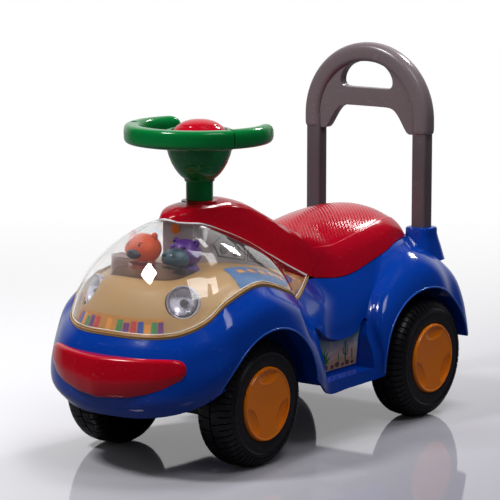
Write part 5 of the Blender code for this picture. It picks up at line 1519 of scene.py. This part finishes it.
def make_wheels():
    """One tyre and one cap, copied to the four corners."""
    first_tyre, first_cap = tyre(), hub_cap()
    for end, y, out in (("front_", FRONT_Y, FRONT_OUT), ("rear_", REAR_Y, REAR_OUT)):
        for side_name, side in SIDES:
            corner = end + side_name
            place = moved(side * (out - TYRE_W), y, WHEEL_R) @ turned_by(90 * side, "Y")
            finish_piece(copy_of(first_tyre, "tyre", place), "tyre_" + corner, "tyre", corner + "_wheel",
                         replaces=("wheel_" + corner,), angle=36)
            finish_piece(copy_of(first_cap, "cap", place @ turned_by(90, "Z")), "cap_" + corner, "orange",
                         corner + "_wheel", replaces=("hub_cap_" + corner,), angle=30)
    for piece in (first_tyre, first_cap):
        bpy.data.objects.remove(piece, do_unlink=True)


# Stage, light and camera

def make_stage():
    """A glossy floor, lighter to the left with painted shade towards the front right, that fades to white far
    behind and is painted dark for the rays that bounce off it.
    """
    bpy.ops.mesh.primitive_plane_add(size=1, location=(0, 0, 0), scale=(1, 1, 1))
    floor = named("floor")
    floor.scale = (9, 9, 1)
    bake_place(floor)
    mat, tree, shader = blank("pale glossy floor")
    place = place_of(tree)
    away = along_node(tree, place, (-0.596, 0.803, 0))
    fade = fade_node(tree, away, {"From Min": 0.1, "From Max": 1.9})
    # Painted shade: the floor's colour darkens from the left towards the front right, in place of the fall of the
    # light.
    across = along_node(tree, place, (-0.940, -0.0755, 0))
    painted_falloff = fade_node(tree, across, {"From Min": -0.574, "From Max": 0.71})
    tone = mix_colour(tree, painted_falloff, (0.27, 0.262, 0.315), (0.94, 0.93, 0.965))
    # Painted shade for bounces: glossy and diffuse rays see the floor darker, so it shows dark in the toy's
    # reflections.
    bounce = tree.nodes.new("ShaderNodeLightPath")
    bounced = math_node(tree, "MAXIMUM", bounce.outputs["Is Glossy Ray"], bounce.outputs["Is Diffuse Ray"])
    tone = mix_colour(tree, math_node(tree, "MULTIPLY", bounced, 0.72), tone, (0.02, 0.02, 0.03))
    tree.links.new(tone, shader.inputs["Base Color"])
    settle(shader, {"Roughness": 0.045, "IOR": 1.5})
    white = node(tree, "ShaderNodeEmission", Strength=1.0)
    ray = tree.nodes.new("ShaderNodeLightPath")
    share = math_node(tree, "MULTIPLY", fade, seen_rays(tree, ray))
    mixed = node(tree, "ShaderNodeMixShader", [(0, share), (1, shader.outputs[0]), (2, white.outputs[0])])
    tree.links.new(mixed.outputs[0], tree.nodes["Material Output"].inputs["Surface"])
    floor.data.materials.append(mat)


def make_backdrop():
    """White where it is seen, a soft fill where it lights, and bright only behind the toy where it is mirrored."""
    world = bpy.data.worlds.new("studio")
    bpy.context.scene.world = world
    world.use_nodes = True
    tree = world.node_tree
    back = tree.nodes["Background"]
    ray = tree.nodes.new("ShaderNodeLightPath")
    behind = along_node(tree, place_of(tree, "Generated"), (-0.588, 0.792, 0.15))
    glossy = fade_node(tree, behind, {"From Min": 0.50, "From Max": 0.88, "To Min": 0.03, "To Max": 0.8})
    seen = seen_rays(tree, ray)
    strength = math_node(tree, "MULTIPLY", glossy, ray.outputs["Is Glossy Ray"])
    strength = math_node(
        tree, "MAXIMUM", strength, math_node(tree, "MULTIPLY", ray.outputs["Is Diffuse Ray"], 0.22))
    strength = math_node(tree, "MAXIMUM", strength, seen)
    tree.links.new(strength, back.inputs["Strength"])
    back.inputs["Color"].default_value = (1, 1, 1, 1)


def aimed(obj, place, aim):
    obj.location = place
    look = (Vector(aim) - Vector(place)).to_track_quat("-Z", "Y")
    obj.rotation_euler = look.to_euler()
    return look


def softbox(name, place, aim_height, size, power, turn=0.0, mirrored=True):
    """A square lamp over the toy; one that isn't mirrored leaves no highlight."""
    light = bpy.data.lights.new(name, "AREA")
    light.shape = "RECTANGLE"
    light.size = light.size_y = size
    light.energy = power
    obj = placed(name, light)
    obj.visible_glossy = mirrored
    look = aimed(obj, place, (0, 0, aim_height))
    obj.rotation_euler = (look.to_matrix() @ Matrix.Rotation(math.radians(turn), 3, "Z")).to_euler()


def make_lights():
    softbox("front_box", (-0.55, -1.05, 1.75), 0.2, 0.32, 24)
    softbox("right_box", (1.05, -0.5, 1.95), 0.2, 0.66, 9)
    softbox("top_box", (0.25, 0.45, 2.2), 0.2, 0.8, 20, 20, False)
    softbox("back_box", (0.05, 1.55, 1.60), 0.25, 0.24, 12)


def make_camera():
    camera = bpy.data.cameras.new("camera")
    camera.lens = 187.36
    camera.sensor_width = 36
    camera.clip_end = 50
    obj = placed("camera", camera)
    aimed(obj, (1.9122, -2.5757, 0.7630), (-0.0248, 0.0325, 0.2252))
    bpy.context.scene.camera = obj


make_camera()
make_stage()
make_backdrop()
make_lights()
make_body()
make_arch_beads()
make_stickers()
make_bumper()
make_deck()
make_deck_prints()
make_lamps()
make_console()
make_windscreen()
make_figures()
make_dome()
make_cowl()
make_seat()
make_steering_wheel()
make_handle()
make_wheels()
refinish("black", "storage_bin", "sound_module", "tie_rod", "knuckle_left", "knuckle_right", "front_axle_beam",
         "column_bush", "rear_axle_bush_left", "rear_axle_bush_right")
refinish(
    "steel", "steering_column", "column_screw", "kingpin_left", "kingpin_right", "stub_axle_left",
    "stub_axle_right", "rear_axle", "seat_hinge_pin", "horn_spring", "axle_nut_front_left",
    "axle_nut_front_right", "axle_nut_rear_left", "axle_nut_rear_right")

scene = bpy.context.scene
scene.view_settings.view_transform = "Standard"
